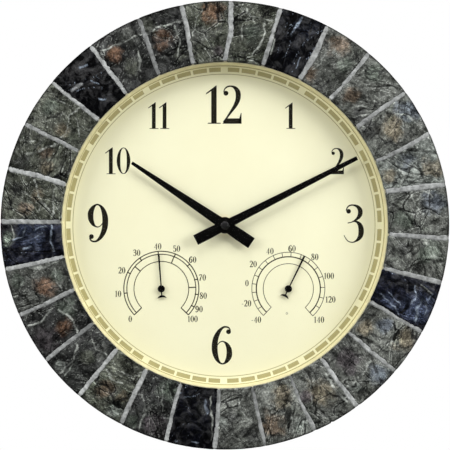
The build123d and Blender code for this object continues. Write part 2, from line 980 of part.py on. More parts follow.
def spiral_strip(pitch, turns):
    """A flat strip wound outwards from the collet to the post, in straight stretches."""
    sides = ([], [])
    for step in range(turns * coil_steps + 1):
        radius = strip_start + pitch * step / coil_steps
        degrees = 360 * step / coil_steps
        sides[0].append(spot(radius - coil_strip_thickness / 2, degrees))
        sides[1].append(spot(radius + coil_strip_thickness / 2, degrees))
    outline = make_face(Polyline(sides[0] + sides[1][::-1], close=True))
    return Pos(0, 0, strip_back) * extrude(outline, coil_strip_width)


def gauge_arbor():
    shaft = pin(gauge_arbor_radius, cup_floor, pointer_back + pointer_hub_height - seat_gap)
    collet_back = cup_floor + gauge_foot_depth + end_shake
    return shaft + disc(gauge_collet_radius, collet_back, strip_front)


def gauge_pointer(length, clock_angle):
    """A thin pointer with a round hub and a crescent for its tail."""
    half = [
        (pointer_neck_width / 2, 0),
        (pointer_tip_width / 2, length),
    ]
    mirrored = [(-x, y) for x, y in half[::-1]]
    plan = make_face(Polyline(half + mirrored, close=True))
    stem_end = (crescent_near + crescent_far) / 2
    plan += Pos(0, -stem_end / 2) * Rectangle(pointer_stem_width, stem_end)
    left_horn = (-crescent_half_width, -crescent_reach)
    right_horn = (crescent_half_width, -crescent_reach)
    plan += make_face(
        [
            ThreePointArc(left_horn, (0, -crescent_near), right_horn),
            ThreePointArc(right_horn, (0, -crescent_far), left_horn),
        ]
    )
    hub_front = pointer_back + pointer_hub_height
    pointer = Pos(0, 0, pointer_back) * extrude(plan, pointer_thickness)
    pointer += disc(pointer_hub_radius, pointer_back, hub_front)
    pointer -= pin(gauge_arbor_radius, pointer_back - overrun, hub_front - seat_gap)
    return Rot(0, 0, -clock_angle) * pointer


def keep(name, *solids):
    """Stand a piece up against the wall and write it to its file."""
    piece = solids[0] if len(solids) == 1 else Compound(children=list(solids))
    upright = Rot(90, 0, 0) * piece
    upright.label = name
    export_step(upright, os.path.join("parts", name + ".step"))


os.makedirs("parts", exist_ok=True)

keep("slate_frame", slate_frame())
keep("lens", lens())
keep("dial_spacer_ring", dial_spacer_ring())
keep("dial_plate", dial_plate())
keep("back_pan", back_pan())
keep("pan_screws", *pan_screws())
keep("hanger_plate", hanger_plate())
keep("hanger_screws", *hanger_screws())

keep("movement_case", movement_case())
keep("movement_cover", movement_cover())
keep("bushing_nut", bushing_nut())
keep("stator", stator())
keep("coil_core", coil_core())
keep("coil_bobbin", coil_bobbin())
keep("coil_winding", coil_winding())
keep("circuit_board", circuit_board())
keep("quartz_crystal", quartz_crystal())
keep("battery_contact_positive", battery_contact(1, button_end_bulge))
keep("battery_contact_negative", battery_contact(-1, flat_end_bulge))
keep("aa_battery", aa_battery())

keep("rotor_pinion", rotor_pinion())
keep("rotor_magnet", rotor_magnet())
keep("intermediate_wheel", intermediate_wheel())
keep("centre_wheel", centre_wheel())
keep("minute_arbor", minute_arbor())
keep("minute_work_wheel", minute_work_wheel())
keep("hour_wheel", hour_wheel())
keep("set_knob", set_knob())

keep("hour_hand", hour_hand())
keep("minute_hand", minute_hand())
keep("hand_cap_nut", hand_cap_nut())

gauges = {
    "thermometer": (
        thermometer_coil_pitch,
        thermometer_turns,
        thermometer_pointer_length,
        thermometer_clock_angle,
    ),
    "hygrometer": (
        hygrometer_coil_pitch,
        hygrometer_turns,
        hygrometer_pointer_length,
        hygrometer_clock_angle,
    ),
}
for gauge, (pitch, turns, length, clock_angle) in gauges.items():
    stand = Pos(gauge_places[gauge][0], gauge_places[gauge][1], 0)
    keep(gauge + "_cup", stand * gauge_cup(pitch, turns))
    keep(gauge + "_coil", stand * spiral_strip(pitch, turns))
    keep(gauge + "_arbor", stand * gauge_arbor())
    keep(gauge + "_pointer", stand * gauge_pointer(length, clock_angle))
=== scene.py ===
# %% [markdown]
# # A wall clock with two weather dials
# The real object is a round casting that looks like slate blocks, with a glazed cream dial
# inside it. The pieces and joints are ready, so this lesson is about what shows: riven
# stone, printed figures, thin black hands and soft light. Everything is in metres, in the
# frame of the construction: X to the right, Z up, and the dial looks along -Y.

# %% Load the frame
import bpy
import bmesh
import json
import math
from collections import namedtuple
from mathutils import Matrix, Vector, noise


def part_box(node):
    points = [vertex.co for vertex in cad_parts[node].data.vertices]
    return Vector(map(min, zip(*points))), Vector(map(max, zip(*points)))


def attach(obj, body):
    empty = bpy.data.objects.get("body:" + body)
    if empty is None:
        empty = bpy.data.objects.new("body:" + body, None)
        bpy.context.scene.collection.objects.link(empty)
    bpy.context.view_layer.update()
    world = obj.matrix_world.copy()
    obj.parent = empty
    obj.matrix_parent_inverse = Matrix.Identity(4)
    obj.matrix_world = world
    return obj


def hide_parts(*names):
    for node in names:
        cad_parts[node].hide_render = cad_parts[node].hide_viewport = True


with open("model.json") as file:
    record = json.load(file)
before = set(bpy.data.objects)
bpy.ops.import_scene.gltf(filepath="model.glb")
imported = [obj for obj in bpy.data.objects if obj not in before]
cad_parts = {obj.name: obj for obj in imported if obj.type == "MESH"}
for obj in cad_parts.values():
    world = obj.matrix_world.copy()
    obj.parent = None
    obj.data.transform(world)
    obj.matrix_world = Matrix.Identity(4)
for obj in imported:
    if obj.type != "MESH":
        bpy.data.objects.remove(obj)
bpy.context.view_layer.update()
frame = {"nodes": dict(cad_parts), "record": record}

# %% [markdown]
# Sizes come from the frame where it has them. A depth is measured out from the wall, so the
# dial's face at 22 mm is the plane Y = -0.022. Angles on the dial are read as on a clock,
# clockwise from twelve, and one small function turns them into places.

# %% Sizes and places
MM = 0.001


def depth_of(node):
    """How far a piece's front and back stand from the wall, in metres."""
    low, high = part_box(node)
    return -low[1], -high[1]


CASE_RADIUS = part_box("slate_frame")[1][0]
DIAL_FRONT = depth_of("dial_plate")[0]
LENS_FRONT, LENS_BACK = depth_of("lens")
CROWN_DEPTH = depth_of("slate_frame")[0]
FRAME_WIDTH = 49.0 * MM
OPENING_RADIUS = CASE_RADIUS - FRAME_WIDTH
CROWN_RADIUS = OPENING_RADIUS + 0.453 * FRAME_WIDTH
EDGE_DEPTH = LENS_FRONT + 4.2 * MM
SHOULDER_DEPTH = CROWN_DEPTH - 3.5 * MM
RIM_CHAMFER = 5 * MM
MORTAR_WIDTH = 2.25 * MM
GAUGE_PLACES = {
    name: tuple((low + high) / 2 for low, high in zip(*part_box(name + "_cup")))
    for name in ("thermometer", "hygrometer")
}


def on_dial(radius, clock_degrees, depth=0.0, centre=(0, 0, 0)):
    """A point at a radius and a clock angle round an axis, at a depth out from the wall."""
    turn = math.radians(clock_degrees)
    x, z = radius * math.sin(turn), radius * math.cos(turn)
    return Vector((centre[0] + x, -depth, centre[2] + z))


print("case radius mm", round(CASE_RADIUS / MM, 1), "dial face mm", round(DIAL_FRONT / MM, 1))

# %% [markdown]
# A material here is a short tree of shader nodes. A few helpers keep each recipe readable:
# they start a material, add a node with its settings, join two nodes, make a grey noise
# pattern in object coordinates, and turn that pattern into a colour, a number or a bump.

# %% Helpers for materials


def new_material(name, roughness=0.5, metallic=0.0, specular=0.5):
    """An empty finish: its material and its surface shader."""
    material = bpy.data.materials.new(name)
    material.use_nodes = True
    shader = material.node_tree.nodes["Principled BSDF"]
    shader.inputs["Roughness"].default_value = roughness
    shader.inputs["Metallic"].default_value = metallic
    shader.inputs["Specular IOR Level"].default_value = specular
    return material, shader


def add(material, kind, **settings):
    """A new shader node; a setting is one of its inputs by name, or else a property."""
    made = material.node_tree.nodes.new(kind)
    for name, value in settings.items():
        label = name.replace("_", " ").title()
        if label in made.inputs:
            made.inputs[label].default_value = value
        else:
            setattr(made, name, value)
    return made


def join(material, source, target):
    """A link from one node's output to another's input."""
    material.node_tree.links.new(source, target)


def object_noise(material, scale, detail=4.0, roughness=0.6, stretch=(1, 1, 1), distortion=0.0):
    """A noise pattern on the object's own coordinates; scale is in patches to the metre."""
    place = add(material, "ShaderNodeTexCoord")
    mapping = add(material, "ShaderNodeMapping", scale=stretch)
    pattern = add(
        material,
        "ShaderNodeTexNoise",
        scale=scale,
        detail=detail,
        roughness=roughness,
        distortion=distortion,
    )
    join(material, place.outputs["Object"], mapping.inputs["Vector"])
    join(material, mapping.outputs["Vector"], pattern.inputs["Vector"])
    return pattern.outputs["Fac"]


def ramp(material, value, low, high, start=0.3, end=0.7):
    """Turns a grey value into a colour between two others."""
    made = add(material, "ShaderNodeValToRGB")
    stops = made.color_ramp.elements
    stops[0].position = start
    stops[1].position = end
    stops[0].color = (*low, 1)
    stops[1].color = (*high, 1)
    join(material, value, made.inputs["Fac"])
    return made.outputs["Color"]


def spread(material, value, low, high, start=0.3, end=0.7):
    """Stretches a grey value between start and end over the range from low to high."""
    limits = {"from_min": start, "from_max": end, "to_min": low, "to_max": high}
    made = add(material, "ShaderNodeMapRange", **limits)
    join(material, value, made.inputs["Value"])
    return made.outputs["Result"]


def mix(material, kind, share, first, second):
    """Two colours blended; share is a number or another node's output."""
    made = add(material, "ShaderNodeMix", data_type="RGBA", blend_type=kind)
    for socket, value in ((0, share), (6, first), (7, second)):
        if isinstance(value, (int, float)):
            made.inputs[socket].default_value = value
        elif isinstance(value, tuple):
            made.inputs[socket].default_value = (*value, 1)
        else:
            join(material, value, made.inputs[socket])
    return made.outputs[2]


def bump(material, height, shader, distance, strength=1.0):
    """Lets a grey pattern stand out from the surface by a distance in metres."""
    made = add(material, "ShaderNodeBump", strength=strength, distance=distance)
    join(material, height, made.inputs["Height"])
    join(material, made.outputs["Normal"], shader.inputs["Normal"])


def srgb(red, green, blue):
    """A colour as it is read off a screen, turned into the linear values that shaders use."""
    return tuple((part / 255) ** 2.2 for part in (red, green, blue))


# %% [markdown]
# Most hidden or plain pieces need a quiet finish: one colour with a slight cloudiness, a
# fine grain in the surface and an uneven sheen. One function makes them all, and the
# differences are in its numbers. Real plastic is never quite even, nor is zinc plate.

# %% Quiet finishes


def cloudy_finish(
    name,
    colour,
    vary=0.12,
    roughness=0.5,
    metallic=0.0,
    grain=900,
    depth=0.02,
    patch=60,
    specular=0.3,
    painted=False,
):
    """A patchy colour with fine grain and uneven sheen; painted adds the tones and painted light
    laid on the points.
    """
    material, shader = new_material(name, roughness, metallic, specular)
    low = tuple(part * (1 - vary) for part in colour)
    high = tuple(min(1, part * (1 + vary)) for part in colour)
    clouds = object_noise(material, patch, detail=5)
    colour = ramp(material, clouds, low, high)
    if painted:
        laid_on = add(material, "ShaderNodeAttribute", attribute_name="tone_and_painted_light")
        colour = mix(material, "MULTIPLY", 1.0, colour, laid_on.outputs["Color"])
    join(material, colour, shader.inputs["Base Color"])
    fine = object_noise(material, grain, detail=3)
    worn = spread(material, fine, roughness * 0.85, min(1, roughness * 1.2))
    join(material, worn, shader.inputs["Roughness"])
    bump(material, fine, shader, depth * MM)
    return material


# Slot: name, colour on a screen, how far it varies, roughness, metal, grain and its depth
QUIET = {
    "pan_plastic": ("moulded_black_pan", (34, 34, 35), 0.12, 0.55, 0, 1400, 0.02),
    "zinc_steel": ("zinc_plated_steel", (176, 178, 176), 0.1, 0.34, 0.9, 700, 0.02),
    "movement_plastic": ("moulded_black_case", (28, 28, 29), 0.12, 0.45, 0, 1800, 0.02),
    "brass": ("turned_brass", (190, 156, 92), 0.08, 0.28, 1, 2400, 0.004),
    "motor_iron": ("rolled_motor_iron", (140, 141, 143), 0.1, 0.4, 1, 900, 0.02),
    "bobbin_plastic": ("natural_nylon", (222, 218, 202), 0.05, 0.42, 0, 900, 0.02),
    "copper_wire": ("enamelled_copper", (168, 84, 48), 0.2, 0.3, 0.9, 6000, 0.02),
    "board": ("green_lacquer", (40, 102, 58), 0.2, 0.35, 0, 900, 0.02),
    "nickel": ("nickel_plate", (196, 192, 184), 0.06, 0.24, 1, 900, 0.004),
    "battery_wrap": ("plain_battery_wrap", (62, 84, 100), 0.1, 0.3, 0.2, 300, 0.01),
    "wheel_plastic": ("white_moulding", (232, 230, 220), 0.04, 0.4, 0, 900, 0.02),
    "magnet": ("sintered_magnet", (60, 60, 62), 0.2, 0.5, 0.6, 900, 0.02),
    "bimetal": ("rolled_bimetal", (186, 164, 118), 0.1, 0.35, 1, 900, 0.02),
    "humidity_strip": ("lined_strip", (206, 204, 198), 0.1, 0.45, 0.6, 900, 0.02),
}
finishes = {}
for slot, (name, colour, *numbers) in QUIET.items():
    finishes[slot] = cloudy_finish(name, srgb(*colour), *numbers)
print("quiet finishes", len(finishes))

# %% [markdown]
# The hands and pointers are thin sheet with a matt black paint. Black paint is never the
# zero of the scale, or it would look like a hole; a dark warm grey with a broad sheen reads
# as black. The cap in the middle is as dark, but smooth and bright.

# %% Black paints and the cap
finishes["hand_black"] = cloudy_finish(
    "matt_black_paint", srgb(7, 6, 5), 0.2, 0.62, grain=2600, depth=0.003, specular=0.03
)
finishes["cap_black"] = cloudy_finish(
    "bright_black_cap", srgb(6, 6, 7), 0.1, 0.1, grain=2600, depth=0.001, specular=0.2
)
print("black paints", finishes["hand_black"].name, finishes["cap_black"].name)

# %% [markdown]
# The dial is sheet metal with a cream print. It is nearly flat in colour, but a real print
# has a very slight mottle and a soft satin face. The gilt prints and the sloping ring share
# a pale gold that is only part metal, because gold ink is flakes in lacquer.

# %% Dial paint, gold ink and the gilt ring
cream, cream_shader = new_material("cream_dial_print", roughness=0.55, specular=0.3)
cream_clouds = object_noise(cream, 18, detail=3)
cream_colour = ramp(cream, cream_clouds, srgb(244, 241, 205), srgb(247, 245, 210))
join(cream, cream_colour, cream_shader.inputs["Base Color"])
bump(cream, object_noise(cream, 1500, detail=2), cream_shader, 0.004 * MM)
finishes["dial_face"] = cream

finishes["gilt_ring"] = cloudy_finish(
    "pale_gilt", srgb(242, 235, 196), 0.03, 0.32, 0.3, depth=0.006
)
gold_ink = cloudy_finish(
    "gold_ink", srgb(178, 170, 123), 0.06, 0.45, 0.1, grain=2200, depth=0.006
)
dark_ink = {"vary": 0.15, "grain": 2500, "depth": 0.004, "specular": 0.1}
figure_ink = cloudy_finish("dark_figure_ink", srgb(28, 26, 17), **dark_ink)
scale_ink = cloudy_finish("thin_scale_ink", srgb(40, 37, 25), **dark_ink)
print("dial finishes", cream.name, gold_ink.name, figure_ink.name)

# %% [markdown]
# Glass is clear and only shows by what it mirrors. This pane is thin and flat, so it needn't
# bend light: a Transparent shader lets the dial and the lamps through, and a small share
# of a Glossy shader lies over it. The share grows towards grazing views, as it does on
# real glass. On the real clock hardly a reflection shows, so head-on it is near nothing.

# %% Clear glass
glass = bpy.data.materials.new("clear_glass")
glass.use_nodes = True
glass.node_tree.nodes.remove(glass.node_tree.nodes["Principled BSDF"])
passing = add(glass, "ShaderNodeBsdfTransparent")
mirror = add(glass, "ShaderNodeBsdfGlossy", roughness=0.03)
grazing = add(glass, "ShaderNodeLayerWeight", blend=0.12)
share_of_mirror = spread(glass, grazing.outputs["Facing"], 0.001, 0.35, 0.0, 1.0)
either = add(glass, "ShaderNodeMixShader")
join(glass, share_of_mirror, either.inputs[0])
join(glass, passing.outputs["BSDF"], either.inputs[1])
join(glass, mirror.outputs["BSDF"], either.inputs[2])
join(glass, either.outputs["Shader"], glass.node_tree.nodes["Material Output"].inputs["Surface"])
finishes["glass"] = glass
print("glass", glass.name)

# %% [markdown]
# The stones are the hard part. Slate splits along its layers, so its face is a stack of thin
# broken ledges, cut by cracks and pale veins and stained by iron. The ledges are real
# geometry. Colour comes in two layers: broad stains, with painted highlights on raised
# edges and painted shade in hollows, are laid on each stone's points as it is made, in an
# attribute, and the shader adds mottle, veins, cracks and grain to them. The sheen fades
# where the face turns away, or else the white room would line the rim.

# %% The slate finish
slate, slate_shader = new_material("riven_slate", roughness=0.5, specular=0.12)
# The attribute holds each stone's tone and stains, with painted highlights and painted shade.
tone_and_painted_light = add(slate, "ShaderNodeAttribute", attribute_name="tone_and_painted_light")
mottle = object_noise(slate, 115, detail=7, roughness=0.66, distortion=0.8)
mottling = spread(slate, mottle, 0.3, 1.9, 0.36, 0.66)
mottled = mix(slate, "MULTIPLY", 1.0, tone_and_painted_light.outputs["Color"], mottling)
specks = object_noise(slate, 520, detail=4, roughness=0.65)
speckled = mix(slate, "MULTIPLY", 1.0, mottled, spread(slate, specks, 0.55, 1.5, 0.36, 0.64))


def vein_pattern(scale, width, warp):
    """Thin wandering lines: the walls between cells of a pattern that noise has bent."""
    place = add(slate, "ShaderNodeTexCoord")
    bend = add(slate, "ShaderNodeTexNoise", scale=scale * 1.7, detail=5.0, roughness=0.65)
    push = add(slate, "ShaderNodeVectorMath", operation="MULTIPLY_ADD")
    push.inputs[1].default_value = (warp, warp, warp)
    cells = add(slate, "ShaderNodeTexVoronoi", feature="DISTANCE_TO_EDGE", scale=scale)
    join(slate, place.outputs["Object"], bend.inputs["Vector"])
    join(slate, bend.outputs["Color"], push.inputs[0])
    join(slate, place.outputs["Object"], push.inputs[2])
    join(slate, push.outputs["Vector"], cells.inputs["Vector"])
    return spread(slate, cells.outputs["Distance"], 1.0, 0.0, 0.0, width)


def times(first, second):
    """The product of a pattern and a number or another pattern, held from 0 to 1."""
    made = add(slate, "ShaderNodeMath", operation="MULTIPLY", use_clamp=True)
    join(slate, first, made.inputs[0])
    if isinstance(second, (int, float)):
        made.inputs[1].default_value = second
    else:
        join(slate, second, made.inputs[1])
    return made.outputs["Value"]


def only_where(scale, start, end):
    """A mask that keeps a pattern to some patches of the stone."""
    return spread(slate, object_noise(slate, scale, detail=3), 0.0, 1.0, start, end)


pale_veins = times(times(vein_pattern(55, 0.045, 0.018), only_where(38, 0.48, 0.56)), 0.6)
dark_cracks = times(times(vein_pattern(75, 0.06, 0.014), only_where(52, 0.46, 0.54)), 0.9)
vein_colour = mix(slate, "MULTIPLY", 1.0, tone_and_painted_light.outputs["Color"], (2.2, 2.3, 2.2))
veined = mix(slate, "MIX", pale_veins, speckled, vein_colour)
cracked = mix(slate, "MIX", dark_cracks, veined, srgb(22, 23, 24))
join(slate, cracked, slate_shader.inputs["Base Color"])

join(slate, spread(slate, specks, 0.3, 0.62), slate_shader.inputs["Roughness"])
turned_away = add(slate, "ShaderNodeLayerWeight", blend=0.5)
sheen = spread(slate, turned_away.outputs["Facing"], 0.14, 0.0, 0.2, 0.6)
glossy_spots = spread(slate, mottle, 0.15, 2.4, 0.46, 0.64)
join(slate, times(sheen, glossy_spots), slate_shader.inputs["Specular IOR Level"])
relief = add(slate, "ShaderNodeMath", operation="SUBTRACT")
join(slate, specks, relief.inputs[0])
join(slate, dark_cracks, relief.inputs[1])
bump(slate, relief.outputs["Value"], slate_shader, 0.5 * MM, 0.9)
finishes["slate"] = slate
print("slate nodes", len(slate.node_tree.nodes))

# %% [markdown]
# Mortar is a sandy grey paste. It is rough all over, with hardly a sheen, and its tone is
# laid on its points, as with the stones. The casting behind it is the same stone powder and
# resin, left dark.

# %% Mortar and the back of the casting
mortar = cloudy_finish(
    "pale_mortar",
    srgb(142, 144, 143),
    0.45,
    0.85,
    grain=700,
    depth=0.25,
    patch=260,
    specular=0.1,
    painted=True,
)
casting_back = cloudy_finish(
    "dark_cast_resin", srgb(58, 60, 62), 0.15, 0.7, grain=420, depth=0.12, patch=40
)
print("casting finishes", mortar.name, casting_back.name)

# %% [markdown]
# Every mesh goes through the same last steps: it becomes an object that stands at the
# origin, gets its finish and rides on a body.
# The construction's own pieces that stay visible just get a material.

# %% Helpers for pieces


def place_mesh(name, builder, material, body="clock", smooth=True, replaces=()):
    """Turns a bmesh into a finished piece of the object."""
    mesh = bpy.data.meshes.new(name)
    builder.to_mesh(mesh)
    builder.free()
    place_piece(name, mesh, material, body, smooth, replaces)


def place_piece(name, mesh, material, body="clock", smooth=True, replaces=()):
    """Turns a mesh into a finished piece, unless a tree has set its material already."""
    piece = bpy.data.objects.new(name, mesh)
    bpy.context.collection.objects.link(piece)
    if material and not mesh.materials:
        mesh.materials.append(material)
    for face in mesh.polygons:
        face.use_smooth = smooth
    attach(piece, body)
    if replaces:
        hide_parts(*replaces)


# %% [markdown]
# A mortar joint is a narrow gap between two stones. Its middle line bends a little between
# the opening, the crown and the rim, so each joint is three clock angles, three width shares
# and three shares of paleness. A stone then fills the space between one joint and the next.

# %% The joints between the stones
JOINTS = [
    ((0.0, 1.8, 1.5), (1.05, 1.25, 1.2), (1, 1.3, 0.9)),
    ((13.4, 14.0, 14.5), (0.85, 0.9, 1.05), (0.7, 1.15, 0.95)),
    ((27.2, 27.8, 27.3), (1.15, 1.6, 0.8), (1.2, 1.05, 1.05)),
    ((39.9, 40.3, 39.9), (0.95, 0.7, 0.95), (1.1, 1.2, 0.95)),
    ((53.3, 53.3, 53.7), (0.95, 1, 0.8), (0.85, 1.05, 0.9)),
    ((67.1, 66.8, 65.8), (0.55, 0.7, 0.95), (0.95, 1, 1.25)),
    ((78.0, 78.9, 79.6), (1.25, 1.25, 1.2), (1.1, 1.15, 1)),
    ((93.2, 93.3, 93.3), (0.8, 1.15, 1.2), (1.1, 0.95, 1.05)),
    ((105.1, 105.0, 104.9), (0.85, 0.9, 1.05), (0.9, 1.1, 1.1)),
    ((117.7, 118.2, 118.4), (0.75, 0.55, 0.8), (0.9, 1.05, 1.2)),
    ((130.8, 130.8, 130.5), (0.7, 0.9, 0.8), (0.95, 1.35, 1.2)),
    ((144.2, 144.1, 143.8), (0.7, 0.8, 1.4), (1.4, 1.4, 1.6)),
    ((156.6, 156.9, 156.3), (0.5, 0.6, 1.05), (0.7, 1.15, 1.35)),
    ((170.2, 170.1, 169.7), (0.45, 0.5, 0.7), (0.7, 1.1, 1.25)),
    ((182.1, 182.1, 182.6), (0.7, 0.8, 0.8), (0.75, 1.2, 1.6)),
    ((195.6, 195.7, 195.2), (0.6, 0.7, 0.7), (1, 1.4, 1.6)),
    ((208.5, 208.2, 207.6), (0.95, 1.15, 0.8), (1.05, 1.4, 1.2)),
    ((221.0, 220.8, 220.6), (0.85, 1.05, 0.95), (1.1, 1.6, 1.9)),
    ((233.3, 233.2, 233.0), (0.6, 0.9, 1.05), (0.55, 1, 1.3)),
    ((246.9, 246.4, 246.4), (0.95, 0.7, 1.05), (0.9, 1.1, 1.2)),
    ((258.9, 258.6, 258.6), (0.75, 1.05, 0.95), (1.4, 1.2, 1.35)),
    ((271.1, 271.0, 271.0), (1.05, 1.15, 1.05), (0.6, 1.3, 1.4)),
    ((284.3, 284.9, 284.6), (1.05, 1.15, 1.05), (1.4, 1.5, 1.4)),
    ((296.8, 296.9, 296.9), (0.7, 0.7, 0.95), (1.05, 1.1, 1.1)),
    ((309.9, 309.7, 309.6), (0.95, 0.55, 0.8), (1.05, 1.3, 1.15)),
    ((323.2, 323.2, 323.1), (0.85, 1.15, 0.8), (1.3, 1.3, 1.2)),
    ((336.4, 337.0, 337.4), (0.7, 1.15, 0.7), (0.6, 0.85, 0.7)),
    ((348.8, 349.1, 348.9), (0.75, 0.9, 1.2), (0.9, 1.15, 0.8)),
]


def blend(a, b, share):
    """A number part of the way from one to another."""
    return a + (b - a) * share


def joint_at(joint, radius):
    """A joint's clock angle, half width in degrees and paleness, at a radius."""
    if radius < CROWN_RADIUS:
        start, inner, outer = 0, OPENING_RADIUS, CROWN_RADIUS
    else:
        start, inner, outer = 1, CROWN_RADIUS, CASE_RADIUS
    share = min(1.0, max(0.0, (radius - inner) / (outer - inner)))
    angle, width, paleness = [blend(three[start], three[start + 1], share) for three in joint]
    return angle, math.degrees(width * MORTAR_WIDTH / 2 / radius), paleness


# The stone's face in section, from the lip over the crown to the back of the rim
SECTION = [
    (OPENING_RADIUS, LENS_FRONT + 0.6 * MM),
    (OPENING_RADIUS, EDGE_DEPTH - 0.8 * MM),
    (OPENING_RADIUS + 0.8 * MM, EDGE_DEPTH),
    (CROWN_RADIUS, CROWN_DEPTH),
    (CASE_RADIUS - RIM_CHAMFER, SHOULDER_DEPTH),
    (CASE_RADIUS - 0.25 * RIM_CHAMFER, SHOULDER_DEPTH - 0.35 * RIM_CHAMFER),
    (CASE_RADIUS, SHOULDER_DEPTH - 1.3 * RIM_CHAMFER),
    (CASE_RADIUS, 1.0 * MM),
]


def along_section(section, share):
    """A point of a section, and its outward direction, at a share of its length."""
    lengths = [math.dist(a, b) for a, b in zip(section, section[1:])]
    left = share * sum(lengths)
    for (a, b), length in zip(zip(section, section[1:]), lengths):
        if left <= length or b == section[-1]:
            part = min(1.0, left / length)
            radius, depth = blend(a[0], b[0], part), blend(a[1], b[1], part)
            return radius, depth, -(b[1] - a[1]) / length, (b[0] - a[0]) / length
        left -= length


# %% [markdown]
# Each stone has a kind, which gives its main colour, a shade, which makes it lighter or
# darker, and a grain, the clock angle along which it splits. Then come a few stains: where
# each one lies, by clock angle and radius in millimetres, how wide it is, and its colour.
# All this follows the real clock: black blocks, olive ones, rust and tan.
# The few cracks and veins that make a stone easy to tell are drawn too, each as a line with
# a tone and a half width in millimetres; its points are clock angles and radii. The glint
# and bright lines are painted highlights on the black stones, and the pale edge lines are
# partly veins and partly painted highlights along ridges.

# %% What each stone looks like
# Some tones are painted light: glint and bright are painted highlights, edge is the painted
# highlight of raised edges and the tone of the pale lines, and night is partly a painted bluish
# sheen on the black stones.
TONES = {
    "olive": srgb(84, 87, 78),
    "black": srgb(14, 15, 20),
    "blue": srgb(84, 90, 98),
    "green": srgb(88, 95, 87),
    "pale": srgb(124, 129, 124),
    "tan": srgb(108, 101, 86),
    "rust": srgb(106, 81, 64),
    "brown": srgb(98, 85, 72),
    "purple": srgb(78, 73, 76),
    "slate": srgb(86, 88, 84),
    "dark": srgb(52, 53, 52),
    "night": srgb(36, 40, 50),
    "edge": srgb(160, 164, 158),
    "glint": srgb(150, 162, 178),
    "bright": srgb(225, 228, 230),
    "crack": srgb(12, 12, 12),
}
STONES = [
    ("olive", 0.42, 80, [(2, 160, 5, "dark"), (8, 152, 7, "green")]),
    ("black", 0.26, 30, [(22.5, 170, 8, "night"), (14.6, 147, 2, "pale")]),
    ("slate", 0.58, 60, [(32.7, 168, 8, "brown"), (29.7, 136, 5, "brown"), (37, 158, 6, "green")]),
    ("slate", 0.69, 100, [(43.8, 142, 6, "brown"), (44, 168, 7, "green"), (51, 138, 6, "dark")]),
    ("slate", 0.91, 30, [(58, 172, 9, "blue"), (60, 152, 8, "tan"), (57, 137, 7, "dark")]),
    ("pale", 0.78, 110, [(75, 171, 8, "tan"), (71, 152, 6, "blue"), (73, 136, 5, "tan")]),
    ("slate", 0.76, 60, [(84, 165, 8, "blue"), (88, 140, 7, "green")]),
    ("slate", 0.99, 150, [(97, 165, 9, "green"), (98, 142, 5, "dark")]),
    ("black", 1.6, 120, [(112.5, 166, 11, "night"), (115.5, 144, 7, "night")]),
    ("slate", 1.08, 40, [(122.5, 169, 8, "tan"), (122, 150, 6, "blue"), (126, 137, 5, "tan")]),
    ("slate", 0.82, 130, [(134, 170, 8, "blue"), (137.5, 145, 9, "purple"), (141, 164, 4, "pale")]),
    ("slate", 0.88, 110, [(150, 152, 9, "tan"), (155, 150, 5, "purple"), (148, 172, 5, "slate")]),
    (
        "slate", 1.16, 10,
        [(159.5, 168, 6, "pale"), (166.5, 162, 8, "brown"), (161.5, 142, 8, "tan")],
    ),
    ("slate", 1.12, 60, [(172, 168, 7, "dark"), (181, 155, 5, "pale"), (178, 150, 6, "dark")]),
    ("black", 0.47, 20, [(187, 145, 4, "dark")]),
    (
        "dark", 0.62, 160,
        [(199.5, 168, 9, "purple"), (205.5, 171, 5, "green"), (199, 138, 7, "green")],
    ),
    ("olive", 0.61, 120, [(210.5, 170, 6, "pale"), (211, 158, 4, "tan"), (216, 160, 8, "brown")]),
    ("dark", 0.68, 80, [(230.3, 171, 4, "pale"), (226.5, 150, 5, "olive"), (224, 138, 6, "slate")]),
    ("dark", 0.52, 30, [(237, 167, 9, "purple"), (238, 149, 6, "rust"), (242.5, 139, 7, "green")]),
    ("slate", 0.53, 60, [(251, 150, 8, "rust"), (255, 170, 5, "green"), (253.5, 138, 5, "green")]),
    ("black", 2.2, 90, [(267, 171, 5, "green"), (267, 155, 10, "night")]),
    ("olive", 0.57, 140, [(274.5, 158, 5, "brown"), (280, 166, 5, "dark"), (279, 150, 5, "tan")]),
    ("olive", 0.42, 20, [(292, 153, 5, "brown"), (287, 168, 6, "dark"), (288, 148, 5, "tan")]),
    ("olive", 0.57, 100, [(300.5, 149, 5, "tan"), (304, 166, 6, "green")]),
    ("black", 0.12, 60, []),
    ("dark", 0.55, 30, [(327, 161, 6, "rust"), (333, 168, 7, "slate"), (330, 145, 6, "olive")]),
    ("dark", 0.45, 70, [(341.9, 154, 7, "rust"), (339, 170, 6, "olive"), (346, 140, 5, "olive")]),
    (
        "olive", 0.53, 150,
        [(356.8, 168, 8, "rust"), (352, 150, 7, "slate"), (358, 136, 4, "purple")],
    ),
]

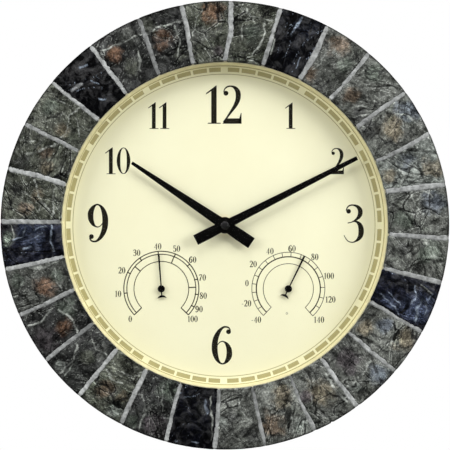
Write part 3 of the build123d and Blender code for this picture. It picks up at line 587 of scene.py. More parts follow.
LINES = {
    1: [
        ("edge", 0.4, (5.6, 172), (6.7, 167), (11.1, 165), (13, 166)),
        ("edge", 0.5, (10.8, 163), (11.9, 155), (11.1, 144), (9.3, 137)),
        ("edge", 0.3, (4.8, 159), (5.2, 147)),
    ],
    2: [
        ("glint", 0.8, (20.4, 175), (19.2, 158)),
        ("glint", 0.4, (24.5, 144), (24.1, 135)),
        ("edge", 0.5, (14.6, 157), (15.2, 147), (14.8, 140)),
    ],
    3: [
        ("crack", 0.5, (38.2, 155), (35.6, 137)),
        ("edge", 0.4, (29.8, 160), (30.5, 148), (29.5, 141)),
    ],
    4: [
        ("crack", 0.5, (52, 148), (47.5, 132)),
        ("crack", 0.4, (49.7, 159), (52, 149)),
        ("edge", 0.5, (50.2, 146), (47.2, 136)),
        ("edge", 0.4, (52.6, 144), (50, 133)),
    ],
    5: [
        ("edge", 0.4, (57, 160), (58.5, 168), (62, 172)),
        ("crack", 0.5, (55, 150), (60, 140), (66, 143)),
    ],
    6: [
        ("crack", 0.7, (71.1, 177), (68.4, 158), (67.8, 148)),
        ("crack", 0.6, (78.4, 162), (74.1, 160), (68, 152)),
        ("edge", 0.4, (70, 143), (75, 147), (77, 141)),
    ],
    7: [
        ("crack", 0.5, (88.8, 172), (88.6, 158)),
        ("crack", 0.8, (91.2, 148), (87.5, 145), (83, 133)),
        ("edge", 0.4, (80.5, 149), (84, 151), (88.2, 157)),
        ("edge", 0.4, (79.8, 158), (82, 165)),
    ],
    8: [
        ("crack", 0.8, (99.3, 175), (99.6, 165), (100.7, 157), (103.8, 146)),
        ("edge", 0.4, (98.5, 174), (98.6, 164)),
        ("crack", 0.5, (97.5, 149), (99.5, 143), (98, 138)),
    ],
    9: [
        ("crack", 0.6, (109.4, 177), (106.8, 155)),
        ("glint", 0.7, (110.5, 167), (113.5, 165), (116.5, 168)),
        ("glint", 0.5, (108.3, 172), (111, 170), (114, 173)),
        ("glint", 0.4, (107.5, 158), (110, 161), (113, 159)),
        ("glint", 0.5, (116.8, 153), (115.4, 144), (113.5, 134)),
        ("glint", 0.4, (114.5, 151), (112.5, 140)),
        ("edge", 0.4, (108.2, 171), (107.2, 161)),
    ],
    10: [
        ("crack", 0.8, (128.3, 163), (128.6, 150), (129.6, 137)),
        ("edge", 0.4, (119, 160), (122, 158), (126, 161)),
    ],
    11: [
        ("crack", 0.7, (135.2, 175), (131.9, 153)),
        ("edge", 0.9, (133.6, 157), (136, 160), (143, 160)),
        ("crack", 0.5, (137, 150), (138, 140)),
    ],
    12: [
        ("edge", 0.9, (145.4, 168), (146.2, 155), (145.8, 142)),
        ("crack", 0.8, (151.5, 177), (153.8, 158), (150.4, 134)),
        ("edge", 0.4, (154.5, 158), (151.5, 140)),
    ],
    13: [("edge", 0.9, (162, 173), (160.8, 159)), ("crack", 0.5, (168.8, 174), (169.4, 160))],
    14: [
        ("edge", 0.6, (172, 157), (174.2, 151), (175.7, 138)),
        ("crack", 0.6, (176.8, 168), (178, 156), (181, 149)),
        ("edge", 0.4, (176, 171), (180.5, 160)),
    ],
    15: [
        ("glint", 0.9, (185.2, 148), (186.7, 139)),
        ("glint", 0.4, (187, 174), (188.6, 172)),
        ("glint", 0.4, (190, 137), (193.5, 139)),
        ("edge", 0.4, (183.5, 170), (184, 150), (185, 136)),
    ],
    16: [
        ("edge", 0.6, (202.9, 175), (203, 158), (206, 149), (207.6, 150)),
        ("edge", 0.5, (198.6, 155), (199.6, 148), (201, 135)),
        ("crack", 0.6, (204.5, 165), (206.5, 158)),
    ],
    17: [
        ("edge", 0.4, (209.7, 136), (212, 139), (215.6, 142)),
        ("edge", 0.4, (213, 148), (216, 152), (219.5, 147)),
        ("crack", 0.6, (213, 170), (214.5, 158), (219, 154)),
    ],
    18: [
        ("edge", 0.6, (227.9, 175), (228.3, 158), (231.2, 149)),
        ("edge", 0.4, (226.7, 173), (227.4, 162)),
        ("crack", 0.7, (229.5, 164), (231.5, 158)),
        ("edge", 0.4, (222, 138), (226, 141), (231, 136)),
    ],
    19: [
        ("edge", 0.6, (242.8, 175), (242.2, 164), (244.5, 151)),
        ("edge", 0.7, (233.8, 144), (238, 141), (243, 146)),
        ("crack", 0.5, (236, 160), (237, 150), (240, 144)),
        ("edge", 0.4, (240, 135), (245, 139)),
    ],
    20: [
        ("edge", 0.7, (257.4, 157), (257, 146), (257.8, 134)),
        ("edge", 0.4, (248, 137), (252, 140), (256, 137)),
        ("crack", 0.6, (248.5, 158), (253, 156), (256, 161)),
    ],
    21: [
        ("glint", 0.7, (263.3, 160), (263.7, 153)),
        ("glint", 0.6, (261.5, 137), (265, 138), (269.7, 136)),
        ("edge", 0.4, (265, 174), (266.5, 166), (270, 168)),
        ("glint", 0.4, (266.5, 150), (267.5, 144)),
        ("glint", 0.5, (265.5, 172), (266.8, 160), (269.5, 157)),
        ("glint", 0.4, (268.7, 150), (269.4, 141)),
    ],
    22: [
        ("edge", 0.6, (283.6, 154), (277.9, 147), (274.9, 138)),
        ("edge", 0.5, (273, 135), (278, 137), (283, 136)),
        ("crack", 0.5, (276, 157), (281, 163)),
        ("edge", 0.3, (272.5, 150), (276, 146)),
    ],
    23: [
        ("edge", 0.6, (290.1, 166), (291.2, 158), (295.9, 148)),
        ("crack", 0.5, (286, 145), (290, 137), (296, 139)),
        ("edge", 0.4, (293, 174), (293.8, 163)),
    ],
    24: [
        ("edge", 0.5, (298, 147), (300, 144), (304.5, 150), (308.9, 147)),
        ("edge", 0.5, (307, 167), (307.4, 159)),
        ("edge", 0.4, (301.5, 134), (305.9, 144)),
        ("crack", 0.5, (299, 168), (303, 158), (307, 153)),
    ],
    25: [
        ("bright", 1.3, (311.3, 160), (314.3, 159)),
        ("glint", 0.6, (317.8, 169), (319.7, 166)),
        ("glint", 0.6, (314.9, 140), (316.7, 137)),
        ("glint", 0.3, (318.5, 149), (317, 156)),
    ],
    26: [
        ("crack", 0.8, (326, 156), (326.7, 145), (329.7, 133)),
        ("edge", 0.7, (333.4, 154), (332.8, 147), (331.2, 139)),
        ("edge", 0.5, (324.5, 169), (329.7, 165), (336, 165)),
    ],
    27: [
        ("edge", 0.6, (346, 162), (346.4, 150), (344.5, 138)),
        ("edge", 0.6, (339, 163), (341.6, 165), (347.5, 165)),
        ("crack", 0.5, (338.3, 158), (339, 146), (342, 140)),
    ],
    28: [
        ("crack", 0.7, (351.2, 157), (354.9, 159), (360.2, 160)),
        ("edge", 0.4, (350.5, 150), (351.8, 163), (354, 172)),
        ("edge", 0.3, (354.9, 161), (360, 162)),
    ],
}
print("stones", len(STONES), "drawn lines", sum(len(lines) for lines in LINES.values()))

# %% [markdown]
# Many pieces here are skins: rows of points with faces between one row and the next. One
# function lays such faces for stones, mortar, turned parts and printed lines alike.

# %% Helpers for skins


def skin(builder, rows, closed=False):
    """Faces between rows of points; a closed row joins its last point to its first."""
    for lower, upper in zip(rows, rows[1:]):
        if closed:
            lower, upper = lower + lower[:1], upper + upper[:1]
        for corners in zip(lower, lower[1:], upper[1:], upper):
            builder.faces.new(corners)


def turned_rings(builder, section, steps):
    """The points of a section, each carried once round the dial's axis."""
    return [
        [builder.verts.new(on_dial(radius, k * 360 / steps, depth)) for k in range(steps)]
        for radius, depth in section
    ]


# %% [markdown]
# Slate breaks in thin flat layers, so a broken face is a set of steps with sharp edges. A
# noise that is cut into levels gives such steps. It is stretched along the stone's own
# grain, bent by a second noise, and crossed by a few deep cracks, which are the borders
# between the cells of a Voronoi pattern. The noise that bends them starts from the clock
# unless it is given a seed, so it gets one here, and each run breaks the same stones.

# %% The relief of a broken face
noise.seed_set(7)
LAYERS = 7.2  # ledges between a stone's lowest and its highest level
ALONG_GRAIN = 46  # patches to the metre
ACROSS_GRAIN = 96


def smooth_step(value):
    """Eases a value in from 0 and out to 1, and holds it there."""
    value = min(1.0, max(0.0, value))
    return value * value * (3 - 2 * value)


def broken_face(place, grain_degrees, seed):
    """How low a point lies, from 0 to 1, the same without rubble or limits, and its crack."""
    turn = math.radians(grain_degrees)
    along = place.x * math.sin(turn) + place.z * math.cos(turn)
    across = place.x * math.cos(turn) - place.z * math.sin(turn)
    here = Vector((along * ALONG_GRAIN, place.y * ALONG_GRAIN, across * ACROSS_GRAIN))
    here += Vector((seed, seed * 0.7, seed * 1.3))
    bend = noise.noise_vector(here * 0.6)
    level = (noise.fractal(here + bend * 0.9, 0.85, 2.1, 5) + 1) * (LAYERS / 2)
    whole = math.floor(level)
    steps = (whole + smooth_step((level - whole) / 0.16)) / LAYERS
    near, second = noise.voronoi(here * 0.5 + bend * 1.1)[0][:2]
    patchy = smooth_step(noise.noise(here * 0.35) * 3 + 0.35)
    crack = smooth_step(1 - (second - near) / 0.085) * patchy
    broad = noise.noise(place * 40 + Vector((seed, 0, 0)))
    rubble = noise.fractal(place * 380, 0.7, 2.0, 4)
    ledge = 0.45 - 1.1 * (steps - 0.5) - 0.2 * broad + 0.4 * crack
    return min(1.0, max(0.0, ledge - 0.1 * rubble)), ledge, crack


print("sample relief", round(broken_face(Vector((0.01, 0, 0.16)), 20, 3.0)[0], 2))

# %% [markdown]
# The stone's colour is laid on its points in three coats. First comes its own tone, then
# the stains with ragged edges. Last comes light and shade painted from the relief: raised
# edges get a painted highlight, and hollows and cracks a painted shade. How far a point
# stands above its neighbours says which of the two it is. The rounded rim and a strip
# along each side are painted darker too, as shade.

# %% Colour the points of a stone
# BITE: how hard the painted shade of a kind's relief darkens it.
BITE = {"black": 2.2, "olive": 1.4, "pale": 0.7}  # how hard a kind's relief darkens it


def stained_tone(place, clock_degrees, radius, kind, stains, seed):
    """A stone's own tone with its stains laid on, and how stained it is there."""
    colour, stained = Vector(TONES[kind]), 0.0
    ragged = noise.fractal(place * 100 + Vector((seed, seed, seed)), 0.7, 2.0, 5)
    for stain_degrees, stain_radius, size, tone in stains:
        across = math.radians(clock_degrees - stain_degrees) * radius / MM
        outward = radius / MM - stain_radius
        near = math.hypot(across, outward) / size + ragged * 0.6
        share = smooth_step(1.5 - near)
        colour = colour.lerp(Vector(TONES[tone]), 0.8 * share)
        stained = max(stained, share)
    return colour, stained


def drawn_lines(number, place, clock_degrees, radius):
    """Which drawn line lies at a point, and how strongly, from 0 to 1."""
    warp = noise.noise_vector(place * 260) * 1.1 + noise.noise_vector(place * 90) * 1.5
    x, y = math.radians(clock_degrees) * radius / MM + warp.x, radius / MM + warp.z
    faint = 0.35 + 0.65 * smooth_step(0.6 + 1.6 * noise.noise(place * 170))
    found, strongest = None, 0.0
    for tone, half_width, *points in LINES[number]:
        flat = [(math.radians(degrees) * radius / MM, height) for degrees, height in points]
        for (x1, y1), (x2, y2) in zip(flat, flat[1:]):
            run, rise = x2 - x1, y2 - y1
            passed = ((x - x1) * run + (y - y1) * rise) / (run * run + rise * rise)
            along = max(0.0, min(1.0, passed))
            away = math.hypot(x - x1 - along * run, y - y1 - along * rise)
            strength = smooth_step(1.6 - away / half_width) * faint
            if strength > strongest:
                found, strongest = tone, strength
    return found, strongest


def at_rim(radius, depth, reach):
    """How near a point is to the rounded front edge of the rim, and not on the side wall."""
    outward = smooth_step((radius - CASE_RADIUS + reach) / reach)
    return outward * smooth_step((depth - SHOULDER_DEPTH + 16 * MM) / (8 * MM))


def painted_relief_light(colour, stained, lift, low, crack, rim, shade, kind):
    """Painted highlights on raised edges, and painted shade in hollows, in cracks and on the
    rounded rim.
    """
    glassy = kind == "black"
    # Painted shade: darker in hollows and cracks and on the rim, lighter where a point stands above
    # its neighbours.
    relief = (1 - 0.8 * crack) * (1.5 - 1.1 * min(1.0, max(0.0, low)))
    relief *= max(0.15, 1 + 7.0 * min(lift, 0.16))
    toned = colour * shade * (1 - 0.7 * rim) * relief ** BITE.get(kind, 1.0)
    # pale is a painted highlight on raised edges, in the glint tone on the black stones.
    start, strength = (0.15, 0.8) if glassy else (0.05, 0.6)
    pale = smooth_step((lift - start) / 0.08) * strength * (1 - rim) * (1 - 0.6 * stained)
    return toned.lerp(Vector(TONES["glint" if glassy else "edge"]), pale)


print("tones", len(TONES))

# %% [markdown]
# Now the stone itself: a grid bent over the casting's section, from one joint to the next.
# Each point is pushed in by the relief, and more near its sides, where the edge is worn. The
# sides are ragged and a wall goes down from them into the mortar. The grid only ever goes
# inwards, so the clock keeps its size. All that is known of a point is kept in one record,
# because its colour also depends on its neighbours.

# %% Carve the stones
STEPS_ACROSS = 72
STEPS_ALONG = 120
EDGE_WEAR = 1.5 * MM
RELIEF = 1.9 * MM
SKIRT = 3.4 * MM
Spot = namedtuple(
    "Spot",
    "radius degrees depth out_radius out_depth place sink low crack line strength to_side",
)


def ragged_side(radius, seed):
    """How far a stone's side strays from its joint, in millimetres."""
    wander = noise.fractal(Vector((radius * 240, seed, 0)), 0.7, 2.0, 3)
    return 0.05 + 1.0 * wander + 0.85 * noise.noise(Vector((radius * 900, seed, 4)))


def stone_row(index, seed, section_place):
    """One row of a stone's points, from one joint to the next."""
    radius, depth = section_place[:2]
    left, left_gap, _ = joint_at(JOINTS[index], radius)
    right, right_gap, _ = joint_at(JOINTS[(index + 1) % len(JOINTS)], radius)
    right += 360 if right < left else 0
    per_metre = math.degrees(1 / radius)
    left += left_gap + per_metre * MM * ragged_side(radius, seed)
    right -= right_gap + per_metre * MM * ragged_side(radius, seed + 5)
    calm = 1 - 0.9 * at_rim(radius, depth, 5 * MM)
    calm *= 0.2 + 0.8 * smooth_step((radius - OPENING_RADIUS) / (2 * MM))
    row = []
    for i in range(STEPS_ACROSS + 1):
        share = i / STEPS_ACROSS
        degrees = blend(left, right, share)
        place = on_dial(radius, degrees, depth)
        sink, ledge, crack = broken_face(place, STONES[index][2], seed)
        sink *= calm
        to_side = min(share, 1 - share) * (right - left) / per_metre
        worn = calm * max(0.0, 1 - to_side / EDGE_WEAR) ** 2
        line, strength = drawn_lines(index + 1, place, degrees, radius)
        sink += strength * (0.45 if line == "crack" else -0.15)
        sink = max(0.0, sink + worn * 0.7)
        known = (place, sink, ledge + worn * 0.5, crack, line, strength, to_side)
        row.append(Spot(radius, degrees, *section_place[1:], *known))
    return row


def stone_colour(spot, around, index, seed):
    """A point's colour; around is how low its four neighbours lie on average."""
    kind, shade, _, stains = STONES[index]
    tone, stained = stained_tone(spot.place, spot.degrees, spot.radius, kind, stains, seed)
    rim = at_rim(spot.radius, spot.depth, 3 * MM)
    lift = around - spot.low
    colour = painted_relief_light(tone, stained, lift, spot.low, spot.crack, rim, shade, kind)
    # Drawn lines lay their tone on: cracks, pale edge lines, and glint and bright lines, which are
    # painted highlights.
    if spot.line:
        colour = colour.lerp(Vector(TONES[spot.line]), 0.65 * spot.strength)
    # Painted shade: darker in a narrow strip along each side, next to the mortar.
    return colour * (1 - 0.35 * math.exp(-spot.to_side / (0.9 * MM)))


def carve_stone(index):
    """The skin of one stone and the wall round it, with its colours on the points."""
    seed = index * 11.0 + 3.0
    rows = [
        stone_row(index, seed, along_section(SECTION, j / STEPS_ALONG))
        for j in range(STEPS_ALONG + 1)
    ]
    builder = bmesh.new()
    colours = builder.verts.layers.float_color.new("tone_and_painted_light")

    def point(spot, below, colour):
        radius, depth = spot.radius - spot.out_radius * below, spot.depth - spot.out_depth * below
        vert = builder.verts.new(on_dial(radius, spot.degrees, depth))
        vert[colours] = (*colour, 1)
        return vert

    grid = []
    for j, row in enumerate(rows):
        above, under = rows[max(0, j - 1)], rows[min(STEPS_ALONG, j + 1)]
        line = []
        for i, spot in enumerate(row):
            before, after = row[max(0, i - 1)], row[min(STEPS_ACROSS, i + 1)]
            around = (above[i].low + under[i].low + before.low + after.low) / 4
            line.append(point(spot, RELIEF * spot.sink, stone_colour(spot, around, index, seed)))
        grid.append(line)
    skin(builder, grid)

    border = [(i, 0) for i in range(STEPS_ACROSS)]
    border += [(STEPS_ACROSS, j) for j in range(STEPS_ALONG)]
    border += [(i, STEPS_ALONG) for i in range(STEPS_ACROSS, 0, -1)]
    border += [(0, j) for j in range(STEPS_ALONG, 0, -1)]
    edge = [grid[j][i] for i, j in border]
    sunk = [point(rows[j][i], SKIRT, TONES["dark"]) for i, j in border]
    for corners in zip(edge, sunk, sunk[1:] + sunk[:1], edge[1:] + edge[:1]):
        builder.faces.new(corners)
    return builder


for index in range(len(STONES)):
    place_mesh(f"stone_{index + 1:02d}", carve_stone(index), slate)
print("stones carved", len(STONES))

# %% [markdown]
# Between the stones the mortar lies a little lower than they do. Each joint gets its own
# narrow strip, which follows the joint over the lip, crown and rim and is rough on top. Its
# sides dive under the stones, so no gap shows. It is laid higher at the rim, and painted
# darker there as shade.

# %% Lay the mortar
MORTAR_STEPS_ALONG = 90
MORTAR_STEPS_ACROSS = 12
MORTAR_BELOW = 0.9 * MM
MORTAR_SIDE = 1.7 * MM


def lay_mortar(joint, seed):
    """One strip of mortar, with its paleness and a painted shade at the rim on its points."""
    builder = bmesh.new()
    colours = builder.verts.layers.float_color.new("tone_and_painted_light")
    grid = []
    for j in range(MORTAR_STEPS_ALONG + 1):
        radius, depth, out_radius, out_depth = along_section(SECTION, j / MORTAR_STEPS_ALONG)
        angle, half, paleness = joint_at(joint, radius)
        half += math.degrees(MORTAR_SIDE / radius)
        near_rim, edge = at_rim(radius, depth, 6 * MM), at_rim(radius, depth, 1.8 * MM)
        row = []
        for i in range(MORTAR_STEPS_ACROSS + 1):
            share = 2 * i / MORTAR_STEPS_ACROSS - 1
            degrees = angle + half * share
            place = on_dial(radius, degrees, depth) + Vector((seed, 0, seed))
            rough = 0.35 * noise.fractal(place * 420, 0.8, 2.0, 3) + 0.25 * noise.noise(place * 110)
            dive = 2.6 * abs(share) ** 4
            below = (MORTAR_BELOW / MM + rough + dive) * (1 - 0.65 * near_rim) * MM
            spot = on_dial(radius - out_radius * below, degrees, depth - out_depth * below)
            vert = builder.verts.new(spot)
            # Painted shade: the tone darkens at the rounded rim.
            tone = paleness * (1 - 0.8 * edge) * (1 + 0.5 * rough)
            vert[colours] = (tone, tone, tone, 1)
            row.append(vert)
        grid.append(row)
    skin(builder, grid)
    return builder


for index, joint in enumerate(JOINTS):
    place_mesh(f"mortar_{index + 1:02d}", lay_mortar(joint, index * 7), mortar)
print("mortar joints", len(JOINTS))

# %% [markdown]
# Behind the stones and mortar there is one casting: a lip that holds the glass, an inner
# wall, a hollow channel and an outer wall. Its section is turned round the dial's axis, as
# a potter would. Two ribs in the channel carry the hanger.

# %% Turn the casting
LIP_INNER = OPENING_RADIUS + 2.4 * MM
WALL_OUTER = CASE_RADIUS - 2.4 * MM
CHANNEL_OUTER = CASE_RADIUS - 4 * MM
LENS_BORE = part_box("lens")[1][0] + 1 * MM
INNER_WALL_BACK = depth_of("back_pan")[0]
CASTING_STEPS = 288
HANGER_HALF_PITCH = 16 * MM
CASTING_SECTION = [
    (LIP_INNER, LENS_FRONT + 0.1 * MM),
    (LIP_INNER, EDGE_DEPTH - 2.4 * MM),
    (CROWN_RADIUS, CROWN_DEPTH - 2.8 * MM),
    (CASE_RADIUS - RIM_CHAMFER, SHOULDER_DEPTH - 2.8 * MM),
    (WALL_OUTER, SHOULDER_DEPTH - 8 * MM),
    (WALL_OUTER, 0.5 * MM),
    (WALL_OUTER - 0.5 * MM, 0),
    (CHANNEL_OUTER, 0),
    (CHANNEL_OUTER, SHOULDER_DEPTH - 8.5 * MM),
    (CROWN_RADIUS, CROWN_DEPTH - 6 * MM),
    (LENS_BORE + 7 * MM, EDGE_DEPTH - 6 * MM),
    (LENS_BORE + 7 * MM, INNER_WALL_BACK),
    (LENS_BORE, INNER_WALL_BACK),
    (LENS_BORE, LENS_FRONT + 0.1 * MM),
]


def turn_section(section, steps):
    """A closed section carried once round the dial's axis."""
    builder = bmesh.new()
    rings = turned_rings(builder, section, steps)
    skin(builder, rings + rings[:1], closed=True)
    bmesh.ops.recalc_face_normals(builder, faces=builder.faces)
    return builder


def add_rib(builder, corners, half_width, centre_x):
    """A rib with its outline in height and depth, drawn out to both sides of a line."""
    ends = [
        [
            builder.verts.new((centre_x + side * half_width, -depth, height))
            for height, depth in corners
        ]
        for side in (-1, 1)
    ]
    made = [builder.faces.new(ends[0]), builder.faces.new(ends[1][::-1])]
    for k in range(len(corners)):
        n = (k + 1) % len(corners)
        made.append(builder.faces.new((ends[0][k], ends[1][k], ends[1][n], ends[0][n])))
    bmesh.ops.recalc_face_normals(builder, faces=made)


casting = turn_section(CASTING_SECTION, CASTING_STEPS)
plate_low, plate_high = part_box("hanger_plate")
rib = [
    (plate_low[2], -plate_low[1]),
    (CHANNEL_OUTER + 0.5 * MM, -plate_low[1]),
    (CHANNEL_OUTER + 0.5 * MM, SHOULDER_DEPTH - 8 * MM),
    (plate_low[2], CROWN_DEPTH - 6 * MM),
]
for side in (-1, 1):
    add_rib(casting, rib, 3.5 * MM, side * HANGER_HALF_PITCH)
place_mesh("frame_casting", casting, casting_back, smooth=False, replaces=["slate_frame"])
print("casting from", round(LIP_INNER / MM, 1), "to", round(WALL_OUTER / MM, 1), "mm")

# %% [markdown]
# The gilt ring slopes from the dial up to the glass. It is one straight line turned round a
# circle, so it suits Geometry Nodes: a tree of nodes makes the shape from a few named sizes, and
# the sizes can be changed without touching the tree. These helpers build and run a tree.
# Rings, blocks and screws all go round an axis, so one helper turns an angle and a radius
# into a place.

# %% Helpers for Geometry Nodes


def new_tree(name, inputs):
    """A tree with named inputs and their values; an input without a value is a material."""
    tree = bpy.data.node_groups.new(name, "GeometryNodeTree")
    for way in ("INPUT", "OUTPUT"):
        tree.interface.new_socket(name="Geometry", in_out=way, socket_type="NodeSocketGeometry")
    for label, value in inputs.items():
        kind = "Material" if value is None else "Int" if isinstance(value, int) else "Float"
        made = tree.interface.new_socket(
            name=label, in_out="INPUT", socket_type="NodeSocket" + kind
        )
        if value is not None:
            made.default_value = value
    return tree, tree.nodes.new("NodeGroupInput").outputs


def step(tree, kind, *sources, **settings):
    """Adds a node, feeds its inputs in order, and returns its outputs."""
    made = tree.nodes.new(kind)
    for name, value in settings.items():
        setattr(made, name, value)
    for position, source in enumerate(sources):
        if isinstance(source, bpy.types.NodeSocket):
            tree.links.new(source, made.inputs[position])
        elif source is not None:
            made.inputs[position].default_value = source
    return made.outputs


def sum_of(tree, operation, *values):
    """One step of arithmetic inside a tree."""
    return step(tree, "ShaderNodeMath", *values, operation=operation)[0]


def between(tree, low, high, share):
    """A number part of the way from one to another."""
    return sum_of(tree, "MULTIPLY_ADD", share, sum_of(tree, "SUBTRACT", high, low), low)


def round_axis(tree, geometry, angle, radius, depth, right=0.0, up=0.0):
    """Moves points to an angle, in radians, and a radius round an axis along Y."""
    x = sum_of(tree, "MULTIPLY_ADD", radius, sum_of(tree, "SINE", angle), right)
    z = sum_of(tree, "MULTIPLY_ADD", radius, sum_of(tree, "COSINE", angle), up)
    place = step(tree, "ShaderNodeCombineXYZ", x, sum_of(tree, "MULTIPLY", depth, -1.0), z)[0]
    return step(tree, "GeometryNodeSetPosition", geometry, None, place)[0]


def copy_to(tree, points, shape, turn=None, size=None):
    """The same shape on every point."""
    sources = (points, None, shape, None, None, turn, size)
    return step(tree, "GeometryNodeInstanceOnPoints", *sources)[0]


def read_number(tree, name):
    """A number that the points carry under a name."""
    return step(tree, "GeometryNodeInputNamedAttribute", name, data_type="FLOAT")["Attribute"]


def finish_tree(tree, geometry, ink):
    """Every tree ends in real geometry with its finish set."""
    real = step(tree, "GeometryNodeRealizeInstances", geometry)[0]
    step(tree, "NodeGroupOutput", step(tree, "GeometryNodeSetMaterial", real, None, ink)[0])


def grow(name, tree, values, start_mesh=None):
    """Runs a tree once with its sizes set, and gives back a plain mesh."""
    host = bpy.data.objects.new(name + "_host", start_mesh or bpy.data.meshes.new(name + "_host"))
    bpy.context.collection.objects.link(host)
    modifier = host.modifiers.new("nodes", "NODES")
    modifier.node_group = tree
    for item in tree.interface.items_tree:
        if item.in_out == "INPUT" and item.name in values:
            modifier[item.identifier] = values[item.name]
    ready = host.evaluated_get(bpy.context.evaluated_depsgraph_get())
    mesh = bpy.data.meshes.new_from_object(ready)
    mesh.name = name
    host.modifiers.remove(modifier)
    bpy.data.objects.remove(host)
    print(name, "faces", len(mesh.polygons))
    return mesh


# %% [markdown]
# The tree starts from a flat grid. One side of the grid becomes the way round the circle and
# the other the way from dial to glass, so a few steps of arithmetic bend the grid into a
# cone. Merge by Distance closes the seam. The sheet hides the thicker ring behind it.

# %% Bend the gilt ring
GILT_FRONT_RADIUS = OPENING_RADIUS - 0.2 * MM
GILT_BACK_RADIUS = GILT_FRONT_RADIUS - 1.3 * MM
ring_tree, ring_in = new_tree(
    "sloping ring",
    {
        "Front radius": GILT_FRONT_RADIUS,
        "Back radius": GILT_BACK_RADIUS,
        "Front depth": LENS_BACK,
        "Back depth": DIAL_FRONT,
        "Steps": 288,
        "Finish": None,
    },
)
sheet = step(ring_tree, "GeometryNodeMeshGrid", 1.0, 1.0, ring_in["Steps"], 9)[0]
sides = step(ring_tree, "ShaderNodeSeparateXYZ", step(ring_tree, "GeometryNodeInputPosition")[0])
turned = sum_of(ring_tree, "MULTIPLY", sides[0], math.tau)
forward = sum_of(ring_tree, "ADD", sides[1], 0.5)
radius_here = between(ring_tree, ring_in["Back radius"], ring_in["Front radius"], forward)
depth_here = between(ring_tree, ring_in["Back depth"], ring_in["Front depth"], forward)
bent = round_axis(ring_tree, sheet, turned, radius_here, depth_here)
finish_tree(ring_tree, step(ring_tree, "GeometryNodeMergeByDistance", bent)[0], ring_in["Finish"])
ring_mesh = grow("gilt_ring", ring_tree, {"Finish": finishes["gilt_ring"]})
place_piece("gilt_ring", ring_mesh, None)
print("ring radii mm", round(GILT_BACK_RADIUS / MM, 1), round(GILT_FRONT_RADIUS / MM, 1))

# %% [markdown]
# The dial's print has a gold chapter of sixty blocks, with a wider gap at each hour. All
# blocks follow one rule, so a tree makes them: sixty points each carry a small grid, and
# arithmetic on the block's number bends that grid into its part of the circle. The print
# is a hair above the paint, as real ink is. It also stands a little left of the middle: a
# print seldom lands dead centre.

# %% Print the minute blocks
INK_HEIGHT = 0.04 * MM
PRINT_SHIFT = -0.7 * MM
DEGREES_A_MINUTE = 6.0
block_tree, block_in = new_tree(
    "minute blocks",
    {
        "Blocks": 60,
        "Inner radius": 122.3 * MM,
        "Outer radius": 125.7 * MM,
        "Depth": DIAL_FRONT + INK_HEIGHT,
        "Shift right": PRINT_SHIFT,
        "Turn": 0.12,
        "Minute gap": 0.9,
        "Hour gap": 2.6,
        "Ink": None,
    },
)
dots = step(block_tree, "GeometryNodePoints", block_in["Blocks"])[0]
number = step(block_tree, "GeometryNodeInputIndex")[0]
labelled = step(
    block_tree, "GeometryNodeStoreNamedAttribute", dots, None, "block", number, data_type="FLOAT"
)[0]
small_grid = step(block_tree, "GeometryNodeMeshGrid", 1.0, 1.0, 9, 2)[0]
many = copy_to(block_tree, labelled, small_grid)
plain_blocks = step(block_tree, "GeometryNodeRealizeInstances", many)[0]
block_number = read_number(block_tree, "block")


def gap_before(which):
    """Half of the gap at the mark where a block starts: wider at each hour."""
    rest = sum_of(block_tree, "MODULO", which, 5.0)
    at_hour = sum_of(block_tree, "LESS_THAN", rest, 0.5)
    whole = between(block_tree, block_in["Minute gap"], block_in["Hour gap"], at_hour)
    return sum_of(block_tree, "MULTIPLY", whole, 0.5)


first_gap = gap_before(block_number)
next_gap = gap_before(sum_of(block_tree, "ADD", block_number, 1.0))
both_gaps = sum_of(block_tree, "ADD", first_gap, next_gap)
width = sum_of(block_tree, "SUBTRACT", DEGREES_A_MINUTE, both_gaps)
start = sum_of(block_tree, "ADD", first_gap, block_in["Turn"])
first_edge = sum_of(block_tree, "MULTIPLY_ADD", block_number, DEGREES_A_MINUTE, start)
parts = step(block_tree, "ShaderNodeSeparateXYZ", step(block_tree, "GeometryNodeInputPosition")[0])
share_along = sum_of(block_tree, "ADD", parts[0], 0.5)
share_out = sum_of(block_tree, "ADD", parts[1], 0.5)
degrees_here = sum_of(block_tree, "MULTIPLY_ADD", share_along, width, first_edge)
angle_here = sum_of(block_tree, "RADIANS", degrees_here)
block_radius = between(block_tree, block_in["Inner radius"], block_in["Outer radius"], share_out)
bent_blocks = round_axis(
    block_tree, plain_blocks, angle_here, block_radius, block_in["Depth"], block_in["Shift right"]
)
finish_tree(block_tree, bent_blocks, block_in["Ink"])
blocks = grow("minute_blocks", block_tree, {"Ink": gold_ink})
place_piece("minute_blocks", blocks, None)

# %% [markdown]
# Six equal screws hold the back pan and the hanger. One screw is modelled, with a chamfered
# head and a cross recess, and a tree copies it to even places round a circle: four for the
# pan, and two for the hanger, whose circle is small and stands high on the case. The heads
# face the wall, so the screw's axis is Y and its shank goes forward.

# %% Drive the screws
SCREW_SIDES = 16
HEAD_RADIUS = 2.8 * MM
SHANK_RADIUS = 1.25 * MM


